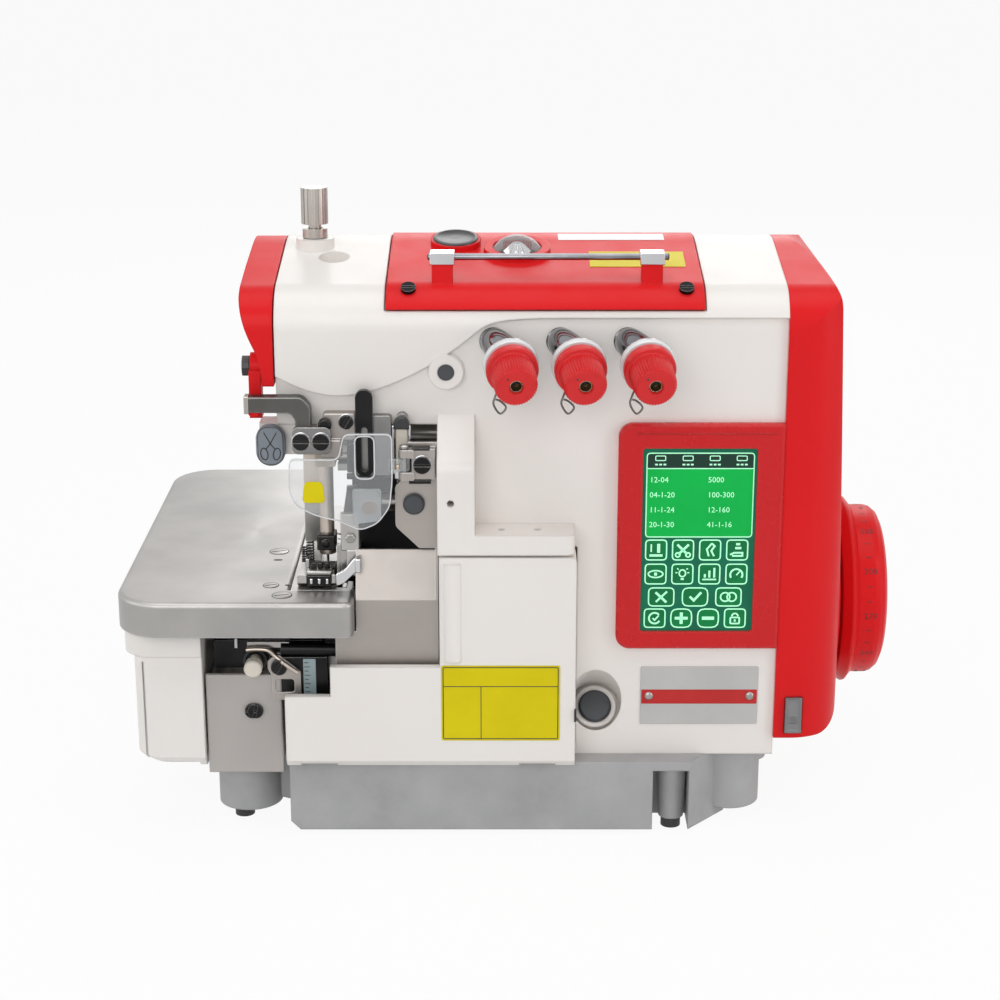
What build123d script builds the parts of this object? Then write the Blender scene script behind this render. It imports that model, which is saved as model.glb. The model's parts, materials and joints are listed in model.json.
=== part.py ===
"""Industrial overlock sewing machine (serger), direct drive, on its own base pan.

Frame: X runs from the cloth plate on the left to the handwheel on the right, Y from the
operator to the back, Z up. Z = 0 is the surface under the rubber feet. All sizes in mm.
"""
import math
import os

from build123d import *

os.makedirs("parts", exist_ok=True)

# --- main casting -------------------------------------------------------------------
arm_left = -117.5            # left end of the arm
arm_overhang = 77.0          # arm beyond the column
casting_length = 244.0       # arm end to motor face
front_y = -79.0              # front face of arm and column
casting_depth = 165.0
pan_top = 40.0               # joint between base pan and casting
arm_underside = 212.0
shoulder_height = 272.5      # front top edge of the casting before it is rounded
crest_rise = 15.0            # crest of the top above the shoulder
crest_back = 80.0            # crest line behind the front face
crest_radius = 60.0
hood_proud = 2.0             # hood over the arm stands proud of the face
casting_wall = 9.0
bed_left = -150.0
bed_top = 104.0
ledge_proud = 19.5           # ledge, rib and front cover stand this far in front
ledge_top = 162.0
ledge_bottom = 152.0
rib_width = 18.0
rib_top = 217.0
rib_knee = 196.0
ledge_hole_radius = 1.7
ledge_hole_spacing = 17.5
ledge_hole_depth = 9.0
chamber_back = 33.0          # looper chamber depth behind the front face
chamber_floor = 6.0
chamber_roof = 150.0

# --- fits ---------------------------------------------------------------------------
running_gap = 0.05           # radial, shaft in its bore
moving_gap = 0.4             # between faces that pass each other
seam_gap = 0.8               # shadow gap round covers

# --- shaft, motor and handwheel -----------------------------------------------------
shaft_y = 16.0
shaft_z = 95.0
shaft_radius = 8.0
bearing_radius = 17.5
bearing_width = 7.5
rotor_radius = 24.0
rotor_length = 22.0
rotor_gap = 0.6
stator_radius = 39.0
stator_length = 24.0
motor_cover_length = 34.0
motor_cover_wall = 4.0
motor_cover_bottom = 49.6
motor_cover_round = 26.0
motor_cover_crown = 24.0     # rounding of its top right edge
motor_cover_lean = 9.0       # its end leans in by this much from shaft to crest
motor_cover_overlap = 2.0    # cover is this much larger all round than the casting
hub_ring_radius = 49.0
hub_ring_width = 5.0
wheel_radius = 45.0
wheel_width = 24.8
wheel_face_recess = 5.0
wheel_rim = 8.0
wheel_gap = 1.0

# --- cloth plate and bed -------------------------------------------------------------
cloth_z = 129.0
plate_left = -198.0
plate_front = -103.0
plate_back = 127.0
plate_nose_right = -81.5     # the plate's front strip runs this far right
plate_inner_right = -113.4   # behind the strip the plate ends here
plate_strip = 19.5           # width of the front strip
plate_thickness = 2.5
plate_rim = 17.5
plate_corner = 24.0
plate_nose_corner = 5.0
hinge_pin_x = -176.0
hinge_pin_y = 98.0
hinge_pin_radius = 4.0
needle_plate_length = 50.5
insert_length = 88.0
housing_left = -196.5
housing_right = -157.0
housing_front = -92.0
housing_back = 112.0
housing_bottom = 37.0
housing_shoulder = 97.0
housing_top = 108.0
housing_wall = 3.5
housing_lip = 4.0            # the lip under the plate stands out by this much
housing_round = 6.0

# --- base pan ------------------------------------------------------------------------
pan_left = -115.7
pan_to_motor = 60.4          # pan's right end to the casting's motor face
pan_front = -89.0
pan_back = 86.0
pan_bottom = 3.0
pan_wall = 6.0
pan_floor = 6.0
pan_bevel = 4.7              # lower left corner cut away
pan_wing = 18.0              # right end beyond the notch of the front right foot
pan_wing_back = 19.0         # notch depth
boss_radius = 16.2
boss_bottom = 8.0
column_radius = 6.35
column_bottom = 5.5
foot_radius = 5.0
foot_stem_radius = 2.6
foot_stem = 6.0
front_foot_left = (-142.0, -63.0)
rear_foot_left = (-133.5, 70.0)
left_boss = (-138.6, -61.0)

# --- needle, foot, knives and loopers -------------------------------------------------
needle_x = -96.0
needle_y = -63.0
needle_bar_radius = 3.6
needle_bar_bottom = 152.0
needle_stroke = 24.08
needle_radius = 0.7
needle_tip = 129.5
bush_radius = 6.5
drive_shaft_y = -21.0
drive_shaft_z = 192.0
drive_shaft_radius = 6.0
foot_left = -110.0
foot_width = 19.0
foot_front = -80.0
foot_back = -30.0
foot_sole = 3.6
foot_lift_radius = 96.0
presser_pivot_z = 203.0
presser_pin_radius = 4.0
presser_hub_radius = 7.0
presser_lug_width = 5.0
presser_bar_width = 8.0
presser_bar_left = -108.5
knife_x = -89.3
knife_thickness = 2.0
knife_shaft_y = -30.0
knife_shaft_z = 158.0
knife_shaft_radius = 5.0
lower_looper_pivot = (-70.0, 60.0)
looper_shaft_radius = 4.5
looper_blade = 3.0

# --- front cover ----------------------------------------------------------------------
cover_left = -116.0
cover_step_x = -93.5
cover_step_z = 79.0
cover_recess_right = -39.9
cover_recess_z = 94.5
cover_to_bezel = 20.0        # cover's right edge to the panel's bezel
cover_return = 4.0           # depth of the edges turned back round the cover's left steps
cover_bottom = 41.0
cover_wall = 2.4
cover_gap = 0.8              # between cover and casting face
cover_top_gap = 1.2          # under the ledge; the top corner rises a little as it tips
cover_slide = 8.0
cover_rod_radius = 1.8
cover_rod_behind = 6.5       # hinge rod behind the front of the cover
cover_rod_above = 8.0        # and above the top of the pan
cover_knuckle_radius = 3.6
cover_lug_width = 8.0

# --- panel, plates and covers -----------------------------------------------------------
bezel_width = 80.0
bezel_bottom = 98.0
bezel_top = 213.0
bezel_proud = 4.0
bezel_corner = 7.0
screen_inset = 11.9          # screen's left edge inside the bezel's
screen_width = 55.0
screen_bottom = 107.3
screen_height = 93.6
screen_recess = 1.2
top_cover_left = -64.5
top_cover_right = 86.5
top_cover_back = 48.0
top_cover_thickness = 4.0
gasket_thickness = 1.0
gasket_width = 7.0
end_cap_length = 16.2
lever_pivot_x = -127.8
lever_pivot_below = 8.0      # lever pivot above the arm's underside
lever_pin_radius = 2.5
side_knob_stem = 2.5
side_knob_boss = 6.6

# --- thread path --------------------------------------------------------------------------
tension_shares = (0.194, 0.3838, 0.5754)   # places along the column's width
tension_length = 47.0
tension_down = 13.5          # degrees below horizontal
tension_right = 6.5          # degrees towards the handwheel
tension_post_radius = 3.2
disc_radius = 12.6
tension_boss_radius = 8.0
knob_radius = 12.0
knob_nose_radius = 10.2
knob_length = 21.0
knob_serrations = 20
rail_y = -63.5
rail_height = 12.0
rail_left = -44.5
rail_right = 69.5
rail_radius = 1.6
pressure_x = -102.5
pressure_y = -14.5
pressure_rise = 31.4         # top of the pressure screw above the casting
pressure_screw_radius = 3.2
pressure_collar_radius = 9.5
pressure_collar_height = 4.2
face_boss_x = -36.2
face_boss_radius = 8.8
face_boss_proud = 3.5
face_plug_radius = 4.0
oil_plug_radius = 8.2

# --- trimming button under the arm's end ------------------------------------------------------
button_x = -120.5
button_z = 202.6
button_travel = 2.2
button_stem_radius = 3.0
button_stem_bore = 8.0

# --- derived places --------------------------------------------------------------------------
column_left = arm_left + arm_overhang
casting_right = arm_left + casting_length
crest_height = shoulder_height + crest_rise
rear_y = front_y + casting_depth
arm_face = shoulder_height - arm_underside
shoulder_radius = 0.2975 * arm_face
rear_radius = 0.595 * arm_face
tension_z = arm_underside + 0.6694 * arm_face
face_boss_z = arm_underside + 0.4347 * arm_face
end_cap_bottom = arm_underside + 0.314 * arm_face
side_knob_z = end_cap_bottom + 7.0
lever_pivot_z = arm_underside + lever_pivot_below
bezel_left = casting_right - bezel_width
cover_right = bezel_left - cover_to_bezel
ledge_right = cover_right - 1.0
chamber_right = cover_right + cover_gap
cover_lug_x = (cover_left + 20.0, cover_right - 14.5)
cover_knuckle_x = (cover_left + 40.0, cover_right - 34.5)
pan_right = casting_right - pan_to_motor
front_foot_right = (pan_right + 10.3, -76.0)
rear_foot_right = (casting_right - 22.5, 66.0)
right_boss = (casting_right - 20.1, -59.0)
top_cover_front_z = shoulder_height - 4.5
needle_bar_top = shoulder_height - casting_wall - 14.5
tension_x = [column_left + share * (casting_right - column_left) for share in tension_shares]
screen_left = bezel_left + screen_inset
side_knob_y = front_y + 12.0
bearing_left_x = column_left + casting_wall - bearing_width
shaft_left = bearing_left_x + 0.5
proud_y = front_y - ledge_proud
chamber_y = front_y + chamber_back
cover_rod_y = proud_y + cover_rod_behind
cover_rod_z = pan_top + cover_rod_above
shaft_right = casting_right + motor_cover_length + hub_ring_width + wheel_gap + wheel_width
wheel_left = casting_right + motor_cover_length + hub_ring_width + wheel_gap
centring = -(plate_left + shaft_right) / 2   # brings the middle of the whole length to X = 0
foot_right = foot_left + foot_width
presser_pivot_y = needle_y + foot_lift_radius
presser_lug_left = presser_bar_left - moving_gap - presser_lug_width
presser_lug_right = presser_bar_left + presser_bar_width + moving_gap
plate_under = cloth_z - plate_thickness
button_housing_front = front_y + 1.0
knife_left = knife_x - knife_thickness / 2
knife_right = knife_x + knife_thickness / 2
bracket_sheet_y = front_y - 10.9
tilt_down = math.radians(tension_down)
tilt_right = math.radians(tension_right)
tension_axis = Vector(
    math.sin(tilt_right) * math.cos(tilt_down),
    -math.cos(tilt_right) * math.cos(tilt_down),
    -math.sin(tilt_down),
)


def top_surface(y, grow=0.0):
    """Height of the casting's roof-shaped top at depth y, before its corners are rounded."""
    slope = (crest_height - shoulder_height) / crest_back
    return crest_height + grow - slope * abs(y - front_y - crest_back)


def draw_section(sketch, base, grow=0.0):
    """Side section of arm and column: upright face, roof-shaped top, rounded back."""
    corners = [
        (front_y - grow, base),
        (front_y - grow, shoulder_height + grow),
        (front_y + crest_back, crest_height + grow),
        (rear_y + grow, top_surface(rear_y, grow)),
        (rear_y + grow, base),
    ]
    with BuildLine() as outline:
        Polyline(*corners, close=True)
    make_face(outline.edges())
    for (y, z), radius in zip(corners[1:4], (shoulder_radius, crest_radius, rear_radius)):
        fillet(sketch.vertices().sort_by_distance((y, z, 0))[0], radius + grow)


def box_between(low, high, mode=Mode.ADD):
    """Block between two opposite corners."""
    size = [b - a for a, b in zip(low, high)]
    with Locations(tuple((a + b) / 2 for a, b in zip(low, high))):
        Box(*size, mode=mode)


def save(piece, name):
    """Centre a finished piece with the whole machine, label it and write it as its own file."""
    placed = piece.part.moved(Location((centring, 0, 0)))
    placed.label = name
    export_step(placed, f"parts/{name}.step")


def x_plane(x, y, z):
    """Plane facing +X at a point, for round pieces whose axis runs along X."""
    return Plane(origin=(x, y, z), x_dir=(0, 1, 0), z_dir=(1, 0, 0))


def y_plane(x, y, z):
    """Plane facing the operator at a point: sketch X is X, sketch Y is Z."""
    return Plane(origin=(x, y, z), x_dir=(1, 0, 0), z_dir=(0, -1, 0))


def tension_plane(index, along=0.0):
    """Plane across a tension post, at a distance along its axis from the arm's face."""
    base = Vector(tension_x[index], front_y, tension_z)
    return Plane(origin=base + tension_axis * along, x_dir=(1, 0.115, 0), z_dir=tension_axis)


# === main casting =====================================================================
# The hood is the part of the arm's skin that stands proud above a long S-shaped step.
with BuildPart() as hood:
    with BuildSketch(Plane.YZ.offset(arm_left)) as hood_section:
        draw_section(hood_section, arm_underside, hood_proud)
    extrude(amount=casting_length)
    with BuildSketch(Plane.XZ.offset(-rear_y - hood_proud)):
        with BuildLine():
            step = Spline(
                (arm_left, arm_underside + 0.397 * arm_face),
                (arm_left + 30.0, arm_underside + 0.24 * arm_face),
                (arm_left + 93.0, arm_underside + 0.711 * arm_face),
                (arm_left + 136.0, arm_underside + 0.86 * arm_face),
                tangents=((1.0, -0.6), (1.0, 0.0)),
            )
            Polyline(
                step @ 1,
                (casting_right, arm_underside + 0.86 * arm_face),
                (casting_right, crest_height + 20.0),
                (arm_left, crest_height + 20.0),
                step @ 0,
            )
        make_face()
    extrude(amount=casting_depth + 2 * hood_proud, mode=Mode.INTERSECT)

with BuildPart() as machine_body:
    with BuildSketch(Plane.YZ.offset(arm_left)) as arm_sketch:
        draw_section(arm_sketch, arm_underside)
    extrude(amount=casting_length)
    with BuildSketch(Plane.YZ.offset(column_left)) as column_sketch:
        draw_section(column_sketch, pan_top)
    extrude(amount=casting_right - column_left)
    # bed that reaches left under the cloth plate, with a shelf in front for the cover
    with BuildSketch(Plane.XY.offset(pan_top)) as bed_sketch:
        with BuildLine():
            Polyline(
                (column_left, chamber_y),
                (bed_left, chamber_y),
                (bed_left, rear_y),
                (column_left, rear_y),
                close=True,
            )
        make_face()
        fillet(bed_sketch.vertices().sort_by(Axis.X)[:2], 10.0)
    extrude(amount=bed_top - pan_top)
    box_between((cover_left + 6.0, front_y, pan_top), (column_left, chamber_y, pan_top + chamber_floor))
    # upright rib and ledge in front of the column
    with BuildSketch(Plane.YZ.offset(column_left)) as rib_sketch:
        with BuildLine():
            Polyline(
                (front_y, ledge_bottom),
                (proud_y, ledge_bottom),
                (proud_y, rib_knee),
                (front_y, rib_top),
                close=True,
            )
        make_face()
        fillet(rib_sketch.vertices().sort_by_distance((proud_y, rib_knee, 0))[0], 9.0)
    extrude(amount=rib_width)
    with BuildSketch(Plane.XY.offset(ledge_bottom)) as ledge_sketch:
        with BuildLine():
            Polyline(
                (column_left + rib_width, front_y),
                (column_left + rib_width, proud_y),
                (ledge_right, proud_y),
                (ledge_right, front_y),
                close=True,
            )
        make_face()
        fillet(ledge_sketch.vertices().sort_by_distance((ledge_right, proud_y, 0))[0], 4.0)
    extrude(amount=ledge_top - ledge_bottom)
    add(hood.part)
    # looper chamber behind the front cover, open to the front and to the left
    box_between(
        (column_left - 1.0, front_y - 1.0, pan_top + chamber_floor),
        (chamber_right, chamber_y, chamber_roof),
        Mode.SUBTRACT,
    )
    # crank chamber, open to the oil pan, and the space inside the arm
    crank_left = column_left + casting_wall
    box_between(
        (crank_left, chamber_y + casting_wall, pan_top),
        (casting_right - casting_wall, rear_y - casting_wall, chamber_roof),
        Mode.SUBTRACT,
    )
    box_between(
        (bed_left + casting_wall, chamber_y + casting_wall, pan_top),
        (column_left - casting_wall, rear_y - casting_wall, bed_top - casting_wall),
        Mode.SUBTRACT,
    )
    box_between(
        (arm_left + casting_wall, front_y + casting_wall, arm_underside + 20.0),
        (casting_right - casting_wall, rear_y - casting_wall, shoulder_height - casting_wall),
        Mode.SUBTRACT,
    )
    box_between(
        (crank_left, chamber_y + casting_wall, chamber_roof),
        (crank_left + 50.0, rear_y - 4 * casting_wall, arm_underside + 20.0),
        Mode.SUBTRACT,
    )
    # rebate and opening under the top cover
    with BuildSketch(Plane.YZ.offset(top_cover_left - seam_gap)) as rebate_sketch:
        draw_section(rebate_sketch, arm_underside, hood_proud + 1.0)
        draw_core = hood_proud - top_cover_thickness - gasket_thickness + 1.0
        with BuildSketch(mode=Mode.PRIVATE) as core_sketch:
            draw_section(core_sketch, arm_underside, draw_core)
        add(core_sketch.sketch, mode=Mode.SUBTRACT)
        with Locations((front_y, 0)):
            Rectangle(20, 2 * (top_cover_front_z - seam_gap), mode=Mode.SUBTRACT)
        with Locations((top_cover_back + seam_gap + 100, 200)):
            Rectangle(200, 400, mode=Mode.SUBTRACT)
    extrude(amount=top_cover_right - top_cover_left + 2 * seam_gap, mode=Mode.SUBTRACT)
    box_between(
        (top_cover_left + gasket_width, front_y + 22.0, shoulder_height - 20.0),
        (top_cover_right - gasket_width, top_cover_back - gasket_width, crest_height + 5.0),
        Mode.SUBTRACT,
    )
    # main shaft's bearing seats: blind in the left wall, through the right one
    with BuildSketch(x_plane(bearing_left_x, shaft_y, shaft_z)):
        Circle(bearing_radius)
    extrude(amount=bearing_width + 1.0, mode=Mode.SUBTRACT)
    with BuildSketch(x_plane(casting_right - casting_wall - 1.0, shaft_y, shaft_z)):
        Circle(bearing_radius)
    extrude(amount=casting_wall + 2.0, mode=Mode.SUBTRACT)
    # needle drive shaft and upper knife shaft bores in the column's left wall
    for y, z, radius in (
        (drive_shaft_y, drive_shaft_z, drive_shaft_radius),
        (knife_shaft_y, knife_shaft_z, knife_shaft_radius),
    ):
        with BuildSketch(x_plane(column_left - 1.0, y, z)):
            Circle(radius + running_gap)
        extrude(amount=2 * casting_wall, mode=Mode.SUBTRACT)
    # looper shaft bore through the chamber's back wall
    with BuildSketch(
        y_plane(lower_looper_pivot[0], chamber_y + casting_wall + 1.0, lower_looper_pivot[1])
    ):
        Circle(looper_shaft_radius + running_gap)
    extrude(amount=casting_wall + 2.0, mode=Mode.SUBTRACT)
    # lugs of the front cover's rod, and lugs of the presser arm pin under the arm
    for x in cover_lug_x:
        with BuildSketch(x_plane(x - cover_lug_width / 2, cover_rod_y, cover_rod_z)):
            Circle(cover_knuckle_radius)
            with BuildLine():
                Polyline(
                    (0, -cover_knuckle_radius),
                    (front_y - cover_rod_y - 3.5, -cover_knuckle_radius),
                    (front_y - cover_rod_y - 1.5, -cover_rod_above + 1.0),
                    (front_y - cover_rod_y + 1.0, -cover_rod_above + 1.0),
                    (front_y - cover_rod_y + 1.0, -1.0),
                    (0, cover_knuckle_radius),
                    close=True,
                )
            make_face()
            Circle(cover_rod_radius + running_gap, mode=Mode.SUBTRACT)
        extrude(amount=cover_lug_width)
    for x in (presser_lug_left, presser_lug_right):
        with BuildSketch(x_plane(x, presser_pivot_y, presser_pivot_z)):
            Circle(presser_hub_radius)
            with Locations((0, (arm_underside + 1.0 - presser_pivot_z) / 2)):
                Rectangle(2 * presser_hub_radius, arm_underside + 1.0 - presser_pivot_z)
            Circle(presser_pin_radius + running_gap, mode=Mode.SUBTRACT)
        extrude(amount=presser_lug_width)
    # needle bar passage through the arm's floor
    with BuildSketch(Plane.XY.offset(arm_underside - 1.0)):
        with Locations((needle_x, needle_y)):
            Circle(bush_radius)
    extrude(amount=22.0, mode=Mode.SUBTRACT)
    # tapped holes: two in the ledge, one high in the rib
    with Locations(
        (-1.0 - ledge_hole_spacing / 2, proud_y + 10.0, ledge_top),
        (-1.0 + ledge_hole_spacing / 2, proud_y + 10.0, ledge_top),
    ):
        Hole(ledge_hole_radius, ledge_hole_depth)
    with BuildSketch(y_plane(column_left + 6.4, proud_y - 1.0, 178.0)):
        Circle(ledge_hole_radius)
    extrude(amount=-ledge_hole_depth - 1.0, mode=Mode.SUBTRACT)
    # scalloped pocket round the oil port plug
    pocket_angle = math.radians(38.0)
    pocket_radius = 12.8
    pocket_depth = 7.0
    pocket_low = 53.0
    pocket_axis = Vector(0, -math.cos(pocket_angle), math.sin(pocket_angle))
    pocket_mouth = Vector(
        cover_right + 10.8,
        front_y + pocket_radius * math.sin(pocket_angle),
        pocket_low + pocket_radius * math.cos(pocket_angle),
    )
    pocket_floor = pocket_mouth - pocket_axis * pocket_depth
    with BuildSketch(Plane(origin=pocket_floor, x_dir=(1, 0, 0), z_dir=pocket_axis)):
        Circle(pocket_radius)
    extrude(amount=60.0, mode=Mode.SUBTRACT)
    with BuildSketch(Plane(origin=pocket_floor, x_dir=(1, 0, 0), z_dir=pocket_axis)):
        Circle(oil_plug_radius + 2.6)
        Circle(oil_plug_radius + running_gap, mode=Mode.SUBTRACT)
    extrude(amount=5.0)
    # collar and bore of the pressure screw, and the access well beside it
    with BuildSketch(Plane.XY.offset(top_surface(pressure_y, hood_proud) - 6.0)):
        with Locations((pressure_x, pressure_y)):
            Circle(pressure_collar_radius)
    extrude(amount=6.0 + pressure_collar_height)
    with Locations((pressure_x + 10.5, pressure_y - 15.5, crest_height + 10.0)):
        Hole(7.5, 22.0)
    with Locations((pressure_x, pressure_y, crest_height + 10.0)):
        Hole(pressure_screw_radius + running_gap, crest_height + 11.0 - arm_underside)
    # round boss on the face with the socket of its plug
    with BuildSketch(y_plane(face_boss_x, front_y + 1.0, face_boss_z)):
        Circle(face_boss_radius)
    extrude(amount=1.0 + face_boss_proud, taper=6)
    with BuildSketch(y_plane(face_boss_x, front_y - face_boss_proud - 1.0, face_boss_z)):
        Circle(face_plug_radius + running_gap)
    extrude(amount=-face_boss_proud - 7.0, mode=Mode.SUBTRACT)
    # block under the arm's end that houses the trimming button
    box_between(
        (button_x - 5.6, button_housing_front, button_z - 5.8),
        (arm_left + 9.0, button_housing_front + 12.0, arm_underside + 0.5),
    )
    with BuildSketch(y_plane(button_x, button_housing_front - 1.0, button_z)):
        Circle(button_stem_radius + running_gap)
    extrude(amount=-button_stem_bore - 1.0, mode=Mode.SUBTRACT)
save(machine_body, "machine_body")

# === base pan =============================================================================
with BuildPart() as base_pan:
    # square trough whose lower left corner is cut away
    with BuildSketch(Plane.XZ.offset(-pan_back)):
        with BuildLine():
            Polyline(
                (pan_left, pan_top),
                (pan_left, pan_bottom + pan_bevel),
                (pan_left + pan_bevel, pan_bottom),
                (pan_right, pan_bottom),
                (pan_right, pan_top),
                close=True,
            )
        make_face()
    extrude(amount=pan_back - pan_front)
    # beyond the notch of the front right foot its end runs back to the boss
    with BuildSketch(Plane.XY.offset(pan_bottom)):
        with BuildLine():
            Polyline(
                (pan_right - 6.0, pan_front + pan_wing_back),
                (pan_right + pan_wing, pan_front + pan_wing_back),
                (pan_right + pan_wing, pan_front),
                (right_boss[0] - 2.0, right_boss[1] - 7.0),
                (right_boss[0] - 2.0, right_boss[1] + 12.0),
                (pan_right - 6.0, right_boss[1] + 12.0),
                close=True,
            )
        make_face()
    extrude(amount=pan_top - pan_bottom)
    box_between(
        (pan_right - 4.0, pan_front, pan_top - 5.0),
        (pan_right + pan_wing, pan_front + pan_wing_back + 1.0, pan_top),
    )
    # flange that carries the whole casting, and the bosses of the feet
    with BuildSketch(Plane.XY.offset(pan_top - 8.0)) as flange:
        with Locations(((bed_left + casting_right) / 2, (chamber_y - 25.0 + rear_y) / 2)):
            RectangleRounded(casting_right - bed_left - 2.0, rear_y - chamber_y + 25.0 - 2.0, 10.0)
    extrude(amount=8.0)
    for boss in (left_boss, rear_foot_left, rear_foot_right, right_boss):
        with BuildSketch(Plane.XY.offset(boss_bottom)):
            with Locations(boss):
                Circle(boss_radius)
        extrude(amount=pan_top - boss_bottom)
    with BuildSketch(Plane.XY.offset(column_bottom)):
        with Locations(front_foot_right):
            Circle(column_radius)
    extrude(amount=pan_top - 1.0 - column_bottom, taper=-2.0)
    # webs from the bosses to the pan
    for x_low, x_high, y in (
        (left_boss[0], pan_left + 8.0, left_boss[1]),
        (rear_foot_left[0], pan_left + 8.0, rear_foot_left[1]),
        (pan_right - 8.0, rear_foot_right[0], rear_foot_right[1]),
    ):
        with BuildSketch(Plane.XZ.offset(-y - 4.0)):
            with BuildLine():
                Polyline(
                    (x_low, pan_top),
                    (x_high, pan_top),
                    (x_high, pan_bottom + 3.0 if x_low < 0 else boss_bottom + 6.0),
                    (x_low, boss_bottom + 6.0 if x_low < 0 else pan_bottom + 3.0),
                    close=True,
                )
            make_face()
        extrude(amount=8.0)
    # oil sump inside
    with BuildSketch(Plane.XY.offset(pan_bottom + pan_floor)) as sump:
        with Locations(((pan_left + pan_right) / 2, (chamber_y + 6.0 + rear_y - 16.0) / 2)):
            RectangleRounded(
                pan_right - pan_left - 2 * pan_wall - 2 * pan_bevel,
                rear_y - chamber_y - 22.0 - 2 * pan_wall,
                6.0,
            )
    extrude(amount=pan_top, mode=Mode.SUBTRACT)
    # stem holes of the rubber feet
    for (x, y), bottom in (
        (front_foot_left, boss_bottom),
        (rear_foot_left, boss_bottom),
        (rear_foot_right, boss_bottom),
        (front_foot_right, column_bottom),
    ):
        with BuildSketch(Plane.XY.offset(bottom)):
            with Locations((x, y)):
                Circle(foot_stem_radius)
        extrude(amount=foot_stem, mode=Mode.SUBTRACT)
save(base_pan, "base_pan")

with BuildPart() as rubber_feet:
    for (x, y), top in (
        (front_foot_left, boss_bottom),
        (rear_foot_left, boss_bottom),
        (rear_foot_right, boss_bottom),
        (front_foot_right, column_bottom),
    ):
        with BuildSketch(Plane.XY):
            with Locations((x, y)):
                Circle(foot_radius)
        extrude(amount=top)
        with BuildSketch(Plane.XY.offset(top)):
            with Locations((x, y)):
                Circle(foot_stem_radius)
        extrude(amount=foot_stem)
save(rubber_feet, "rubber_feet")

# === covers round the casting ================================================================
with BuildPart() as left_end_cap:
    cap_plane = Plane(origin=(arm_left - seam_gap, 0, 0), x_dir=(0, 1, 0), z_dir=(1, 0, 0))
    with BuildSketch(cap_plane) as cap_section:
        draw_section(cap_section, end_cap_bottom, hood_proud - 0.5)
    extrude(amount=-end_cap_length)
    # its end is upright beside the top and sweeps in under the shoulder
    with BuildSketch(Plane.XZ.offset(-rear_y - 10.0)):
        cap_left = arm_left - seam_gap - end_cap_length
        with BuildLine():
            Polyline((arm_left, end_cap_bottom), (arm_left, crest_height + 10.0))
            Line((arm_left, crest_height + 10.0), (cap_left + 1.0, crest_height + 10.0))
            Spline(
                (cap_left + 1.0, crest_height + 10.0),
                (cap_left, end_cap_bottom + 42.0),
                (cap_left + 4.8, end_cap_bottom + 23.0),
                (cap_left + 10.5, end_cap_bottom),
                tangents=((0.0, -1.0), (0.0, -1.0)),
            )
            Line((cap_left + 10.5, end_cap_bottom), (arm_left, end_cap_bottom))
        make_face()
    extrude(amount=casting_depth + 20.0, mode=Mode.INTERSECT)
    # inside of the shell
    box_between(
        (arm_left - seam_gap - 5.0, front_y + 10.0, end_cap_bottom + 10.0),
        (arm_left, rear_y - 10.0, shoulder_height - 10.0),
        Mode.SUBTRACT,
    )
    # boss and bore of the side knob
    knob_face_x = cap_left + 4.0
    with BuildSketch(x_plane(knob_face_x, side_knob_y, side_knob_z)):
        Circle(side_knob_boss)
    extrude(amount=8.0)
    # post of the hand lever, hanging from the boss
    box_between(
        (lever_pivot_x - 2.7, front_y + 0.4, lever_pivot_z - 5.0),
        (lever_pivot_x + 3.2, front_y + 8.0, side_knob_z),
    )
    with BuildSketch(x_plane(cap_left, side_knob_y, side_knob_z)):
        Circle(side_knob_stem + running_gap)
    extrude(amount=end_cap_length + 1.0, mode=Mode.SUBTRACT)
    with BuildSketch(y_plane(lever_pivot_x, front_y + 1.0, lever_pivot_z)):
        Circle(lever_pin_radius)
    extrude(amount=9.0)
save(left_end_cap, "left_end_cap")

with BuildPart() as side_knob:
    with BuildSketch(x_plane(knob_face_x - moving_gap, side_knob_y, side_knob_z)):
        RegularPolygon(5.0, 12)
    extrude(amount=-3.6)
    with BuildSketch(x_plane(knob_face_x - moving_gap, side_knob_y, side_knob_z)):
        Circle(side_knob_stem)
    extrude(amount=end_cap_length - 6.0)
save(side_knob, "side_knob")


def shoulder_plane(x, angle, grow):
    """Plane on the rounded front shoulder; angle is its tilt from level towards the operator."""
    radius = shoulder_radius + grow
    slope = (crest_height - shoulder_height) / (crest_back + grow)
    lean = math.atan(slope)
    tangent = radius * math.tan((math.pi / 2 - lean) / 2)
    start = Vector(0, front_y - grow, shoulder_height + grow)
    centre = start + Vector(0, radius, -tangent)
    normal = Vector(0, -math.sin(angle), math.cos(angle))
    return Plane(origin=centre + normal * radius + Vector(x, 0, 0), x_dir=(1, 0, 0), z_dir=normal)


def slope_plane(x, y, grow):
    """Plane on the sloping top of the casting at a point."""
    slope = (crest_height - shoulder_height) / (crest_back + grow)
    height = shoulder_height + grow + slope * (y - front_y + grow)
    lean = math.atan(slope)
    normal = Vector(0, -math.sin(lean), math.cos(lean))
    return Plane(origin=(x, y, height), x_dir=(1, 0, 0), z_dir=normal)


def slotted_screw(plane, radius, height):
    """Screw head with a chamfered rim and a slot, standing on a plane."""
    with BuildSketch(plane) as head:
        Circle(radius)
    extrude(head.sketch, amount=height)
    with BuildSketch(plane.offset(height)) as slot:
        Rectangle(2 * radius + 1.0, radius * 0.3)
    extrude(slot.sketch, amount=-height * 0.45, mode=Mode.SUBTRACT)


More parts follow.
